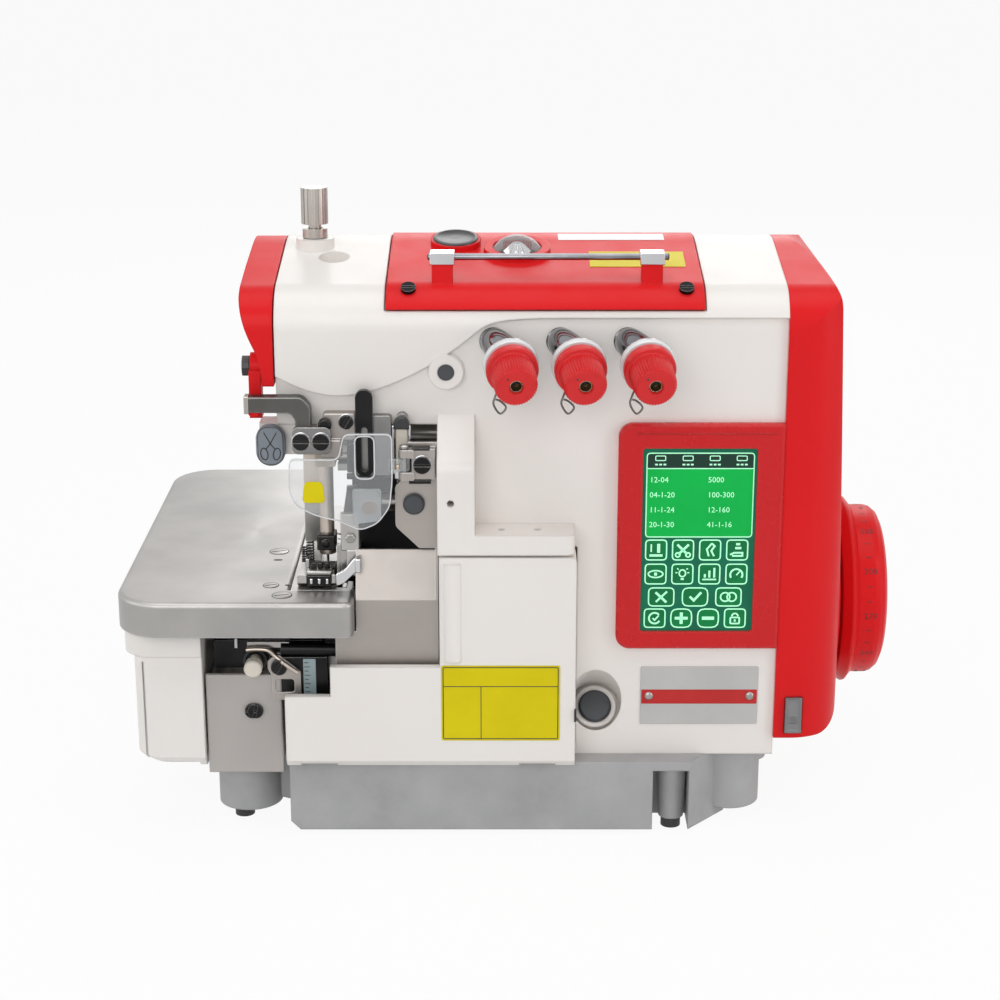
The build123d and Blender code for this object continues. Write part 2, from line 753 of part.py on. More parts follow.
def cover_blank(x_low, x_high, outer, inner, front_z, back_y):
    """Curved sheet that follows the casting's top between two grown sections."""
    with BuildSketch(Plane.YZ.offset(x_low)) as blank:
        draw_section(blank, arm_underside, outer)
        with BuildSketch(mode=Mode.PRIVATE) as core:
            draw_section(core, arm_underside, inner)
        add(core.sketch, mode=Mode.SUBTRACT)
        with Locations((front_y, 0)):
            Rectangle(20, 2 * front_z, mode=Mode.SUBTRACT)
        with Locations((back_y + 100, 200)):
            Rectangle(200, 400, mode=Mode.SUBTRACT)
    extrude(blank.sketch, amount=x_high - x_low)


cover_outer = hood_proud + 1.0
cover_inner = cover_outer - top_cover_thickness
cap_x, cap_y = -32.5, -15.5
sight_x, sight_y = -2.0, -25.0
cap_hole_radius = 8.0
cap_ring_radius = 12.5
cap_ring_height = 3.2
sight_hole_radius = 12.0
rail_post_x = (rail_left + 6.5, rail_right - 7.5)
rail_z = top_surface(rail_y, cover_outer) + rail_height
cap_plane = slope_plane(cap_x, cap_y, cover_outer)
sight_plane = slope_plane(sight_x, sight_y, cover_outer)

with BuildPart() as top_cover:
    cover_blank(
        top_cover_left, top_cover_right, cover_outer, cover_inner, top_cover_front_z, top_cover_back
    )
    fillet(top_cover.edges().filter_by(Axis.Z).group_by(Axis.Y)[-1], 5.0)
    # raised rings under the filler cap and round the sight glass
    with BuildSketch(cap_plane.offset(-1.0)):
        Circle(cap_ring_radius)
    extrude(amount=1.0 + cap_ring_height)
    with BuildSketch(sight_plane.offset(-1.0)):
        Circle(16.5)
    extrude(amount=3.6)
    for hole_plane, hole_radius in ((cap_plane, cap_hole_radius), (sight_plane, sight_hole_radius)):
        with BuildSketch(hole_plane.offset(8.0)):
            Circle(hole_radius)
        extrude(amount=-20.0, mode=Mode.SUBTRACT)
    # two posts that carry the thread rail
    for post_x in rail_post_x:
        with BuildSketch(Plane.YZ.offset(post_x - 5.0)):
            with BuildLine():
                foot = slope_plane(0, rail_y - 4.0, cover_outer - 0.6).origin
                heel = slope_plane(0, rail_y + 5.5, cover_outer - 0.6).origin
                Polyline(
                    (foot.Y, foot.Z),
                    (rail_y - 3.2, rail_z + 2.4),
                    (rail_y + 3.2, rail_z + 2.4),
                    (heel.Y, heel.Z),
                    close=True,
                )
            make_face()
            with Locations((rail_y, rail_z)):
                Circle(rail_radius + running_gap, mode=Mode.SUBTRACT)
        extrude(amount=10.0)
save(top_cover, "top_cover")

with BuildPart() as top_cover_gasket:
    cover_blank(
        top_cover_left,
        top_cover_right,
        cover_inner,
        cover_inner - gasket_thickness,
        top_cover_front_z,
        top_cover_back,
    )
    box_between(
        (top_cover_left + gasket_width, front_y + 22.0, shoulder_height - 20.0),
        (top_cover_right - gasket_width, top_cover_back - gasket_width, crest_height + 5.0),
        Mode.SUBTRACT,
    )
save(top_cover_gasket, "top_cover_gasket")


with BuildPart() as oil_filler_cap:
    with BuildSketch(cap_plane.offset(moving_gap + cap_ring_height)):
        Circle(cap_ring_radius - 1.1)
    extrude(amount=3.0)
    chamfer(oil_filler_cap.edges().sort_by(Axis.Z)[-1], 0.8)
    with BuildSketch(cap_plane.offset(moving_gap + cap_ring_height)):
        Circle(cap_hole_radius - moving_gap)
    extrude(amount=-cap_ring_height - 8.0)
save(oil_filler_cap, "oil_filler_cap")

with BuildPart() as sight_glass:
    # spherical dome on a short cylindrical base
    dome_base = sight_hole_radius - running_gap
    dome_seat = 1.5
    dome_rise = 6.5
    dome_radius = (dome_base**2 + dome_rise**2) / (2 * dome_rise)
    half_way = math.asin(dome_base / dome_radius) / 2
    dome_middle = (
        dome_radius * math.sin(half_way),
        dome_seat + dome_rise - dome_radius * (1 - math.cos(half_way)),
    )
    with BuildSketch(Plane(origin=sight_plane.origin, x_dir=(1, 0, 0), z_dir=-sight_plane.y_dir)):
        with BuildLine():
            Polyline(
                (0, dome_seat + dome_rise), (0, -3.0), (dome_base, -3.0), (dome_base, dome_seat)
            )
            ThreePointArc((dome_base, dome_seat), dome_middle, (0, dome_seat + dome_rise))
        make_face()
    revolve(axis=Axis(sight_plane.origin, sight_plane.z_dir))
save(sight_glass, "sight_glass")

with BuildPart() as thread_rail:
    with BuildSketch(x_plane(rail_left, rail_y, rail_z)):
        Circle(rail_radius)
    extrude(amount=rail_right - rail_left)
save(thread_rail, "thread_rail")

# === motor, shaft and handwheel ================================================================


def motor_shell(inset):
    """Solid of the motor cover, drawn in by an inset: side section, domed end, rounded corners."""
    with BuildPart() as shell:
        with BuildSketch(Plane.YZ.offset(casting_right)) as side:
            draw_section(side, motor_cover_bottom + inset, motor_cover_overlap - inset)
        extrude(amount=motor_cover_length - inset)
        far = casting_right + motor_cover_length - inset
        top = crest_height + motor_cover_overlap - inset
        with BuildSketch(Plane.XZ) as front:
            with BuildLine():
                Polyline(
                    (casting_right, motor_cover_bottom + inset),
                    (far, motor_cover_bottom + inset),
                    (far, shaft_z),
                    (far - motor_cover_lean, top),
                    (casting_right, top),
                    close=True,
                )
            make_face()
            crown = front.vertices().sort_by_distance((far - motor_cover_lean, top, 0))[0]
            fillet(crown, motor_cover_crown - inset)
            low = front.vertices().sort_by_distance((far, motor_cover_bottom, 0))[0]
            fillet(low, motor_cover_round * 0.45)
        extrude(amount=casting_depth, both=True, mode=Mode.INTERSECT)
        with BuildSketch(Plane.XY) as plan:
            with BuildLine():
                Polyline(
                    (casting_right, front_y - motor_cover_overlap + inset),
                    (far, front_y - motor_cover_overlap + inset),
                    (far, rear_y + motor_cover_overlap - inset),
                    (casting_right, rear_y + motor_cover_overlap - inset),
                    close=True,
                )
            make_face()
            fillet(plan.vertices().sort_by(Axis.X)[-2:], motor_cover_round)
        extrude(amount=crest_height * 2, mode=Mode.INTERSECT)
    return shell.part


port_left = casting_right + 5.0
port_width = 9.0
port_bottom = motor_cover_bottom + 2.5
port_height = 19.5
port_depth = 2.6
gland_x = casting_right + 18.0
gland_z = 70.0
gland_bore_radius = 4.0
gland_neck_radius = 7.0
with BuildPart() as motor_cover:
    add(motor_shell(0.0))
    add(motor_shell(motor_cover_wall), mode=Mode.SUBTRACT)
    with BuildSketch(
        x_plane(casting_right + motor_cover_length - motor_cover_wall, shaft_y, shaft_z)
    ):
        Circle(hub_ring_radius)
    extrude(amount=motor_cover_wall + hub_ring_width)
    chamfer(motor_cover.edges().sort_by(Axis.X)[-1], 1.5)
    with BuildSketch(x_plane(casting_right + 10.0, shaft_y, shaft_z)):
        Circle(shaft_radius + 5.0)
    extrude(amount=motor_cover_length, mode=Mode.SUBTRACT)
    # pocket of the port flap and hole of the cable gland
    box_between(
        (port_left, front_y - motor_cover_overlap - 1.0, port_bottom),
        (port_left + port_width, front_y - motor_cover_overlap + port_depth, port_bottom + port_height),
        Mode.SUBTRACT,
    )
    with BuildSketch(y_plane(gland_x, rear_y + 10.0, gland_z)):
        Circle(gland_neck_radius)
    extrude(amount=20.0, mode=Mode.SUBTRACT)
save(motor_cover, "motor_cover")

with BuildPart() as cable_gland:
    with BuildSketch(y_plane(gland_x, rear_y + motor_cover_overlap + 7.0, gland_z)):
        RegularPolygon(10.0, 6)
    extrude(amount=7.0)
    with BuildSketch(y_plane(gland_x, rear_y + motor_cover_overlap, gland_z)):
        Circle(gland_neck_radius)
    extrude(amount=motor_cover_wall)
    with BuildSketch(y_plane(gland_x, rear_y + motor_cover_overlap + 7.0, gland_z)):
        Circle(gland_bore_radius)
    extrude(amount=7.0 + motor_cover_wall, mode=Mode.SUBTRACT)
save(cable_gland, "cable_gland")

port_pin_y = front_y - motor_cover_overlap - 0.6
port_pin_z = port_bottom + 1.6
with BuildPart() as port_cover:
    with BuildSketch(x_plane(port_left + moving_gap, port_pin_y, port_pin_z)):
        Circle(1.1)
    extrude(amount=port_width - 2 * moving_gap)
    box_between(
        (port_left + moving_gap, port_pin_y - 0.6, port_pin_z),
        (
            port_left + port_width - moving_gap,
            port_pin_y + 1.1,
            port_bottom + port_height - moving_gap,
        ),
    )
save(port_cover, "port_cover")

crank_spots = ((0.0, 0.0), (34.0, 180.0), (68.0, 90.0))
crank_throw = 5.0
with BuildPart() as main_shaft:
    with BuildSketch(x_plane(shaft_left, shaft_y, shaft_z)):
        Circle(shaft_radius)
    extrude(amount=shaft_right - 3.0 - shaft_left)
    for spot, turn in crank_spots:
        offset_y = crank_throw * math.cos(math.radians(turn))
        offset_z = crank_throw * math.sin(math.radians(turn))
        with BuildSketch(x_plane(spot, shaft_y + offset_y, shaft_z + offset_z)):
            Circle(shaft_radius + crank_throw + 2.0)
        extrude(amount=12.0)
save(main_shaft, "main_shaft")

with BuildPart() as shaft_bearings:
    for bearing_x in (bearing_left_x, casting_right - casting_wall):
        with BuildSketch(x_plane(bearing_x, shaft_y, shaft_z)):
            Circle(bearing_radius - running_gap)
            Circle(shaft_radius + running_gap, mode=Mode.SUBTRACT)
        extrude(amount=bearing_width)
    # flanged bush of the needle bar in the arm's floor
    for bush_outer, bush_base, bush_height in (
        (bush_radius - running_gap, arm_underside, 20.0),
        (bush_radius + 0.4, arm_underside + 20.0, 2.0),
    ):
        with BuildSketch(Plane.XY.offset(bush_base)):
            with Locations((needle_x, needle_y)):
                Circle(bush_outer)
                Circle(needle_bar_radius + running_gap, mode=Mode.SUBTRACT)
        extrude(amount=bush_height)
save(shaft_bearings, "shaft_bearings")

with BuildPart() as motor_rotor:
    with BuildSketch(x_plane(casting_right + 1.0, shaft_y, shaft_z)):
        Circle(rotor_radius)
        Circle(shaft_radius + running_gap, mode=Mode.SUBTRACT)
    extrude(amount=rotor_length)
save(motor_rotor, "motor_rotor")

with BuildPart() as motor_stator:
    with BuildSketch(x_plane(casting_right, shaft_y, shaft_z)):
        Circle(stator_radius)
        Circle(rotor_radius + rotor_gap, mode=Mode.SUBTRACT)
        with PolarLocations(rotor_radius + rotor_gap + 8.0, 12):
            Rectangle(9.0, 4.0, mode=Mode.SUBTRACT)
    extrude(amount=stator_length)
save(motor_stator, "motor_stator")

wheel_end = wheel_left + wheel_width
with BuildPart() as handwheel:
    with BuildSketch(y_plane(0, shaft_y, shaft_z)):
        with BuildLine():
            bore = shaft_radius + running_gap
            Polyline(
                (wheel_left, bore),
                (wheel_left, wheel_radius - 1.5),
                (wheel_left + 1.5, wheel_radius),
                (wheel_end - 7.0, wheel_radius),
                (wheel_end - 4.4, wheel_radius - 0.7),
                (wheel_end - 1.6, wheel_radius - 3.0),
                (wheel_end, wheel_radius - 6.5),
                (wheel_end, wheel_radius - wheel_rim),
                (wheel_end - wheel_face_recess, wheel_radius - wheel_rim - 2.5),
                (wheel_end - wheel_face_recess, shaft_radius + 9.0),
                (wheel_end - 1.0, shaft_radius + 6.0),
                (wheel_end - 1.0, bore),
                (wheel_left, bore),
            )
        make_face()
    revolve(axis=Axis((0, shaft_y, shaft_z), (1, 0, 0)))
save(handwheel, "handwheel")

# === panel, plates and plugs on the front =======================================================
with BuildPart() as panel_bezel:
    with BuildSketch(y_plane(0, front_y, 0)) as bezel_face:
        with BuildLine():
            Polyline(
                (bezel_left, bezel_bottom),
                (casting_right, bezel_bottom),
                (casting_right, bezel_top),
                (bezel_left, bezel_top),
                close=True,
            )
        make_face()
        fillet(bezel_face.vertices().sort_by(Axis.X)[:2], bezel_corner)
        with Locations((screen_left + screen_width / 2, screen_bottom + screen_height / 2)):
            RectangleRounded(
                screen_width + 2 * running_gap,
                screen_height + 2 * running_gap,
                1.5,
                mode=Mode.SUBTRACT,
            )
    extrude(amount=bezel_proud)
    chamfer(panel_bezel.faces().sort_by(Axis.Y)[0].outer_wire().edges().filter_by(Axis.Z), 1.0)
save(panel_bezel, "panel_bezel")

with BuildPart() as panel_screen:
    with BuildSketch(y_plane(screen_left + screen_width / 2, front_y, screen_bottom + screen_height / 2)):
        RectangleRounded(screen_width, screen_height, 1.5)
    extrude(amount=bezel_proud - screen_recess)
save(panel_screen, "panel_screen")

with BuildPart() as rubber_plugs:
    plug_plane = Plane(origin=pocket_floor, x_dir=(1, 0, 0), z_dir=pocket_axis)
    with BuildSketch(plug_plane):
        Circle(oil_plug_radius)
    extrude(amount=7.0)
    chamfer(rubber_plugs.edges().filter_by(GeomType.CIRCLE).sort_by(Axis.Z)[-1], 1.0)
    # plug in the boss on the face
    with BuildSketch(y_plane(face_boss_x, front_y + 5.0, face_boss_z)):
        Circle(face_plug_radius)
    extrude(amount=5.0 + face_boss_proud - 0.5)
    # stop on the guard bracket
    with BuildSketch(y_plane(column_left - 11.3, bracket_sheet_y, 175.6)):
        Circle(5.2)
    extrude(amount=2.6)
    chamfer(rubber_plugs.edges().sort_by(Axis.Y)[0], 1.0)
save(rubber_plugs, "rubber_plugs")

# === thread tensions =============================================================================
post_seat = 27.5
with BuildPart() as tension_posts:
    for index in range(len(tension_x)):
        # chrome boss cut flush with the face, disc seat, and the post itself
        with BuildSketch(tension_plane(index, -8.0)) as boss:
            Circle(tension_boss_radius)
        extrude(boss.sketch, amount=8.0 + post_seat - 6.9)
        with BuildSketch(tension_plane(index, -8.0)) as post:
            Circle(tension_post_radius)
        extrude(post.sketch, amount=8.0 + tension_length - 1.5)
        # hooked lip of the boss, which leads the thread to the discs
        with BuildSketch(tension_plane(index, 2.0)) as lip:
            with Locations((-4.6, 3.8)):
                SlotCenterToCenter(5.0, 9.0, rotation=-40)
        extrude(lip.sketch, amount=9.0)
    box_between(
        (tension_x[0] - 60, front_y, tension_z - 60),
        (tension_x[-1] + 60, front_y + 30, tension_z + 60),
        Mode.SUBTRACT,
    )
save(tension_posts, "tension_posts")

with BuildPart() as tension_discs:
    for index in range(len(tension_x)):
        for start, radius in ((post_seat - 6.5, disc_radius), (post_seat - 4.6, disc_radius)):
            with BuildSketch(tension_plane(index, start)) as disc:
                Circle(radius)
                Circle(tension_post_radius + running_gap, mode=Mode.SUBTRACT)
            extrude(disc.sketch, amount=1.5)
        # spring cup between the discs and the knob
        with BuildSketch(tension_plane(index, post_seat - 2.8)) as cup:
            Circle(8.2)
            Circle(tension_post_radius + running_gap, mode=Mode.SUBTRACT)
        extrude(cup.sketch, amount=tension_length - knob_length - post_seat + 2.4)
save(tension_discs, "tension_discs")

for index in range(len(tension_x)):
    knob_start = tension_length - knob_length
    with BuildPart() as knob:
        with BuildSketch(tension_plane(index, knob_start)):
            Circle(knob_radius)
        extrude(amount=7.0, taper=-2)
        with BuildSketch(tension_plane(index, knob_start + 7.0)):
            Circle(knob_nose_radius)
            with PolarLocations(knob_nose_radius, knob_serrations):
                RegularPolygon(0.9, 3, mode=Mode.SUBTRACT)
        extrude(amount=knob_length - 7.0)
        with BuildSketch(tension_plane(index, knob_start)):
            Circle(tension_post_radius + running_gap)
        extrude(amount=knob_length, mode=Mode.SUBTRACT)
        with BuildSketch(tension_plane(index, tension_length)):
            Circle(knob_nose_radius * 0.62)
        extrude(amount=-1.5, mode=Mode.SUBTRACT)
    save(knob, f"tension_knob_{index + 1}")

# === pressure screw ===============================================================================
screw_seat = top_surface(pressure_y, hood_proud) + pressure_collar_height
pressure_top = top_surface(pressure_y) + pressure_rise
with BuildPart() as pressure_screw:
    with BuildSketch(Plane.XY.offset(arm_underside - 3.5)):
        with Locations((pressure_x, pressure_y)):
            Circle(pressure_screw_radius)
    extrude(amount=pressure_top - 8.0 - arm_underside)
    with BuildSketch(Plane.XY.offset(pressure_top - 18.0)):
        with Locations((pressure_x, pressure_y)):
            Circle(6.7)
            with PolarLocations(6.7, 16):
                RegularPolygon(0.7, 3, mode=Mode.SUBTRACT)
    extrude(amount=18.0)
save(pressure_screw, "pressure_screw")

with BuildPart() as pressure_lock_nut:
    with BuildSketch(Plane.XY.offset(screw_seat + moving_gap)):
        with Locations((pressure_x, pressure_y)):
            Circle(6.2)
            Circle(pressure_screw_radius + running_gap, mode=Mode.SUBTRACT)
    extrude(amount=4.5)
    chamfer(pressure_lock_nut.edges().filter_by(GeomType.CIRCLE).group_by(Axis.Z)[-1][-1], 0.6)
save(pressure_lock_nut, "pressure_lock_nut")

# === cloth plate and what carries it ================================================================
with BuildPart() as cloth_plate:
    with BuildSketch(Plane.XY.offset(cloth_z)) as plate_outline:
        with BuildLine():
            Polyline(
                (plate_left, plate_front),
                (plate_nose_right, plate_front),
                (plate_nose_right, plate_front + plate_strip),
                (plate_inner_right, plate_front + plate_strip),
                (plate_inner_right, plate_back),
                (plate_left, plate_back),
                close=True,
            )
        make_face()
        for corner, radius in (
            ((plate_left, plate_front), plate_corner),
            ((plate_left, plate_back), plate_corner),
            ((plate_inner_right, plate_back), plate_nose_corner),
            ((plate_nose_right, plate_front), plate_nose_corner),
        ):
            fillet(plate_outline.vertices().sort_by_distance((*corner, 0))[0], radius)
    extrude(amount=-plate_rim)
    top_rim = cloth_plate.faces().sort_by(Axis.Z)[-1].outer_wire().edges()
    fillet(top_rim.filter_by(lambda e: e.center().X < plate_inner_right - 10), 2.4)
    # hollow underneath, open towards the needle
    with BuildSketch(Plane.XY.offset(cloth_z - plate_rim)) as plate_hollow:
        with BuildLine():
            Polyline(
                (plate_left + plate_thickness, plate_front + plate_thickness),
                (plate_nose_right - plate_thickness, plate_front + plate_thickness),
                (plate_nose_right - plate_thickness, plate_front + plate_strip + 1.0),
                (plate_inner_right + 1.0, plate_front + plate_strip + 1.0),
                (plate_inner_right + 1.0, plate_back - plate_thickness),
                (plate_left + plate_thickness, plate_back - plate_thickness),
                close=True,
            )
        make_face()
        for corner in ((plate_left, plate_front), (plate_left, plate_back)):
            near = plate_hollow.vertices().sort_by_distance((*corner, 0))[0]
            fillet(near, plate_corner - plate_thickness)
    extrude(amount=plate_rim - plate_thickness, mode=Mode.SUBTRACT)
    # boss of the swing pin
    with BuildSketch(Plane.XY.offset(cloth_z - plate_rim)):
        with Locations((hinge_pin_x, hinge_pin_y)):
            Circle(hinge_pin_radius + 4.0)
    extrude(amount=plate_rim - plate_thickness)
    with BuildSketch(Plane.XY.offset(cloth_z - plate_rim)):
        with Locations((hinge_pin_x, hinge_pin_y)):
            Circle(hinge_pin_radius + running_gap)
    extrude(amount=plate_rim - plate_thickness, mode=Mode.SUBTRACT)
save(cloth_plate, "cloth_plate")

with BuildPart() as left_side_housing:
    # lip under the plate, and the body set back from it
    for inset, low, high in (
        (0.0, housing_shoulder, housing_top),
        (housing_lip, housing_bottom, housing_shoulder),
    ):
        with BuildSketch(Plane.XY.offset(low)) as housing_plan:
            with BuildLine():
                Polyline(
                    (housing_left + inset, housing_front + inset / 4),
                    (housing_right, housing_front + inset / 4),
                    (housing_right, chamber_y + 14.0),
                    (bed_left, chamber_y + 14.0),
                    (bed_left, rear_y - 14.0),
                    (housing_right, rear_y - 14.0),
                    (housing_right, housing_back - inset / 4),
                    (housing_left + inset, housing_back - inset / 4),
                    close=True,
                )
            make_face()
            fillet(housing_plan.vertices().group_by(Axis.X)[0], 16.0)
        extrude(amount=high - low)
    foot_edge = left_side_housing.edges().group_by(Axis.Z)[0].sort_by(Axis.X)[0]
    chamfer(foot_edge, housing_round)
    box_between(
        (
            housing_left + housing_lip + housing_wall + 2.0,
            housing_front + housing_wall + 1.0,
            housing_bottom - 1.0,
        ),
        (housing_right - housing_wall, housing_back - housing_wall - 1.0, housing_shoulder - 4.0),
        Mode.SUBTRACT,
    )
    # swing pin of the cloth plate with its washer
    for pin_radius, pin_top in (
        (hinge_pin_radius, plate_under - moving_gap),
        (hinge_pin_radius + 3.0, cloth_z - plate_rim - moving_gap),
    ):
        with BuildSketch(Plane.XY.offset(housing_top - 1.0)):
            with Locations((hinge_pin_x, hinge_pin_y)):
                Circle(pin_radius)
        extrude(amount=pin_top - housing_top + 1.0)
save(left_side_housing, "left_side_housing")

needle_plate_left = plate_inner_right + moving_gap
needle_plate_right = plate_nose_right - 1.5
needle_plate_front = plate_front + plate_strip + moving_gap
needle_plate_back = needle_plate_front + needle_plate_length
feed_row_x = (-109.0, -104.0)
feed_row_width = 2.6
feed_front = needle_y - 8.0
feed_back = needle_y + 20.0
feed_travel = 2.0
with BuildPart() as needle_plate:
    with BuildSketch(Plane.XY.offset(plate_under)) as needle_outline:
        with BuildLine():
            Polyline(
                (needle_plate_left, needle_plate_front),
                (needle_plate_right, needle_plate_front),
                (needle_plate_right, needle_y - 7.0),
                (needle_x + 3.5, needle_y - 6.0),
                (needle_x + 3.5, needle_y + 6.0),
                (needle_plate_right, needle_y + 7.0),
                (needle_plate_right, needle_plate_back),
                (needle_plate_left, needle_plate_back),
                close=True,
            )
        make_face()
        fillet(needle_outline.vertices().sort_by(Axis.X)[-4:], 1.5)
        for row_x in feed_row_x:
            with Locations((row_x, (feed_front + feed_back) / 2)):
                Rectangle(
                    feed_row_width + 2 * moving_gap,
                    feed_back - feed_front + 2 * feed_travel + 2 * moving_gap,
                    mode=Mode.SUBTRACT,
                )
        with Locations((needle_x, needle_y)):
            Circle(1.6, mode=Mode.SUBTRACT)
        # slot where the two knives meet
        with Locations((knife_right, front_y + 4.7)):
            Rectangle(5.1, 10.6, mode=Mode.SUBTRACT)
    extrude(amount=plate_thickness)
save(needle_plate, "needle_plate")

with BuildPart() as plate_insert:
    with BuildSketch(Plane.XY.offset(plate_under)) as insert_outline:
        with BuildLine():
            Polyline(
                (needle_plate_left, needle_plate_back + moving_gap),
                (needle_plate_right, needle_plate_back + moving_gap),
                (needle_plate_right, needle_plate_back + insert_length - 12.0),
                (needle_plate_right - 12.0, needle_plate_back + insert_length),
                (needle_plate_left, needle_plate_back + insert_length),
                close=True,
            )
        make_face()
    extrude(amount=plate_thickness)
save(plate_insert, "plate_insert")

cheek_left = needle_plate_left - 6.0
cheek_width = 4.5
cheek_back = needle_plate_back + insert_length - 4.0
arm_seat_z = 114.5
with BuildPart() as plate_support:
    # left cheek reaches forward over the looper chamber, the right one stays on the bed
    with BuildSketch(Plane.YZ.offset(cheek_left)):
        with BuildLine():
            Polyline(
                (needle_plate_front + 1.0, arm_seat_z + 5.0),
                (needle_plate_front + 1.0, plate_under - moving_gap),
                (cheek_back, plate_under - moving_gap),
                (cheek_back, bed_top),
                (chamber_y + 1.0, bed_top),
                (chamber_y + 1.0, arm_seat_z),
                close=True,
            )
        make_face()
    extrude(amount=cheek_width)
    # ledge under the needle plate's left edge
    box_between(
        (cheek_left + 1.0, needle_plate_front + 2.0, plate_under - 4.0),
        (needle_plate_left + 1.6, needle_plate_back - 2.0, plate_under - moving_gap),
    )
    box_between(
        (needle_plate_left, needle_plate_front + 2.0, plate_under - 4.0),
        (needle_plate_left + 1.6, needle_plate_back - 2.0, plate_under),
    )
    box_between(
        (needle_plate_right - cheek_width, chamber_y + 1.0, bed_top),
        (needle_plate_right, cheek_back, plate_under),
    )
    box_between(
        (cheek_left, cheek_back - cheek_width, bed_top),
        (needle_plate_right, cheek_back, plate_under - moving_gap),
    )
    # guide block under the feed bar
    box_between((cheek_left + 1.0, -16.0, bed_top), (needle_plate_right - 1.0, 8.0, bed_top + 3.6))
save(plate_support, "plate_support")

tooth_pitch = 2.0
tooth_height = 1.0
feed_top = cloth_z + 0.3
with BuildPart() as feed_dogs:
    for row_x in feed_row_x:
        with BuildSketch(Plane.YZ.offset(row_x - feed_row_width / 2)):
            count = int((feed_back - feed_front) / tooth_pitch)
            saw = []
            for tooth in range(count):
                start = feed_front + tooth * tooth_pitch
                saw += [(start, feed_top - tooth_height), (start + tooth_pitch * 0.8, feed_top)]
            with BuildLine():
                Polyline(
                    (feed_front, plate_under - 6.0),
                    *saw,
                    (feed_back, feed_top - tooth_height),
                    (feed_back, bed_top + 14.0),
                    (needle_y + 11.0, bed_top + 14.0),
                    (needle_y + 9.0, plate_under - 6.0),
                    close=True,
                )
            make_face()
        extrude(amount=feed_row_width)
    # bar that carries both rows, sliding on the guide block
    with BuildSketch(Plane.YZ.offset(feed_row_x[0] - feed_row_width / 2)):
        with BuildLine():
            Polyline(
                (needle_y + 11.0, bed_top + 6.0),
                (needle_y + 11.0, bed_top + 14.0),
                (20.0, bed_top + 14.0),
                (38.0, bed_top + 11.0),
                (38.0, bed_top + 4.0),
                (chamber_y + 4.0, bed_top + 4.0),
                close=True,
            )
        make_face()
    extrude(amount=feed_row_x[1] - feed_row_x[0] + feed_row_width)
save(feed_dogs, "feed_dogs")

# === presser foot and its arm =====================================================================
foot_under = cloth_z + 0.7
foot_seat_top = foot_under + foot_sole
shank_front = needle_y + 16.0
shank_back = shank_front + 9.0
bar_bottom = presser_pivot_z - 9.0
bar_top = presser_pivot_z + 1.0
with BuildPart() as presser_foot:
    with BuildSketch(Plane.YZ.offset(foot_left)):
        with BuildLine():
            Polyline((foot_front + 2.5, foot_under), (foot_back, foot_under))
            Polyline(
                (foot_back, foot_under),
                (foot_back, foot_seat_top - 1.0),
                (foot_back - 4.0, foot_seat_top),
                (foot_front + 3.0, foot_seat_top),
                (foot_front, foot_seat_top + 2.6),
                (foot_front - 0.6, foot_under + 2.0),
            )
            Line((foot_front - 0.6, foot_under + 2.0), (foot_front + 2.5, foot_under))
        make_face()
    extrude(amount=foot_width)
    # notch for needle and upper looper, slits between the toes
    with BuildSketch(Plane.XY.offset(foot_under - 1.0)):
        with Locations((foot_right, needle_y + 1.25)):
            Rectangle(2 * (foot_right - needle_x + 5.0), 20.5)
        for toe in range(1, 3):
            with Locations((foot_left + foot_width * toe / 3.0 - 1.0, foot_front)):
                Rectangle(1.4, 14.0)
    extrude(amount=foot_sole + 6.0, mode=Mode.SUBTRACT)
    # shank up to the presser arm
    with BuildSketch(Plane.YZ.offset(presser_bar_left)):
        with BuildLine():
            Polyline(
                (shank_front - 4.0, foot_seat_top - 0.5),
                (shank_back + 6.0, foot_seat_top - 0.5),
                (shank_back, foot_seat_top + 12.0),
                (shank_back, foot_seat_top + 30.0),
                (shank_front, foot_seat_top + 30.0),
                (shank_front, foot_seat_top + 9.0),
                close=True,
            )
        make_face()
    extrude(amount=presser_bar_width)
save(presser_foot, "presser_foot")

with BuildPart() as presser_arm:
    with BuildSketch(Plane.YZ.offset(presser_bar_left)) as arm_side:
        with BuildLine():
            Polyline(
                (shank_front, foot_seat_top + 30.0),
                (shank_back, foot_seat_top + 30.0),
                (shank_back, bar_bottom),
                (presser_pivot_y, bar_bottom + 2.0),
                (presser_pivot_y, bar_top),
                (shank_front, bar_top),
                close=True,
            )
        make_face()
        fillet(arm_side.vertices().sort_by_distance((shank_front, bar_top, 0))[0], 7.0)
        with Locations((presser_pivot_y, presser_pivot_z)):
            Circle(presser_hub_radius)
    extrude(amount=presser_bar_width)
    # pin that turns in the two lugs of the arm
    with BuildSketch(x_plane(presser_lug_left - 1.0, presser_pivot_y, presser_pivot_z)):
        Circle(presser_pin_radius)
    extrude(amount=presser_lug_right + presser_lug_width - presser_lug_left + 2.0)
save(presser_arm, "presser_arm")

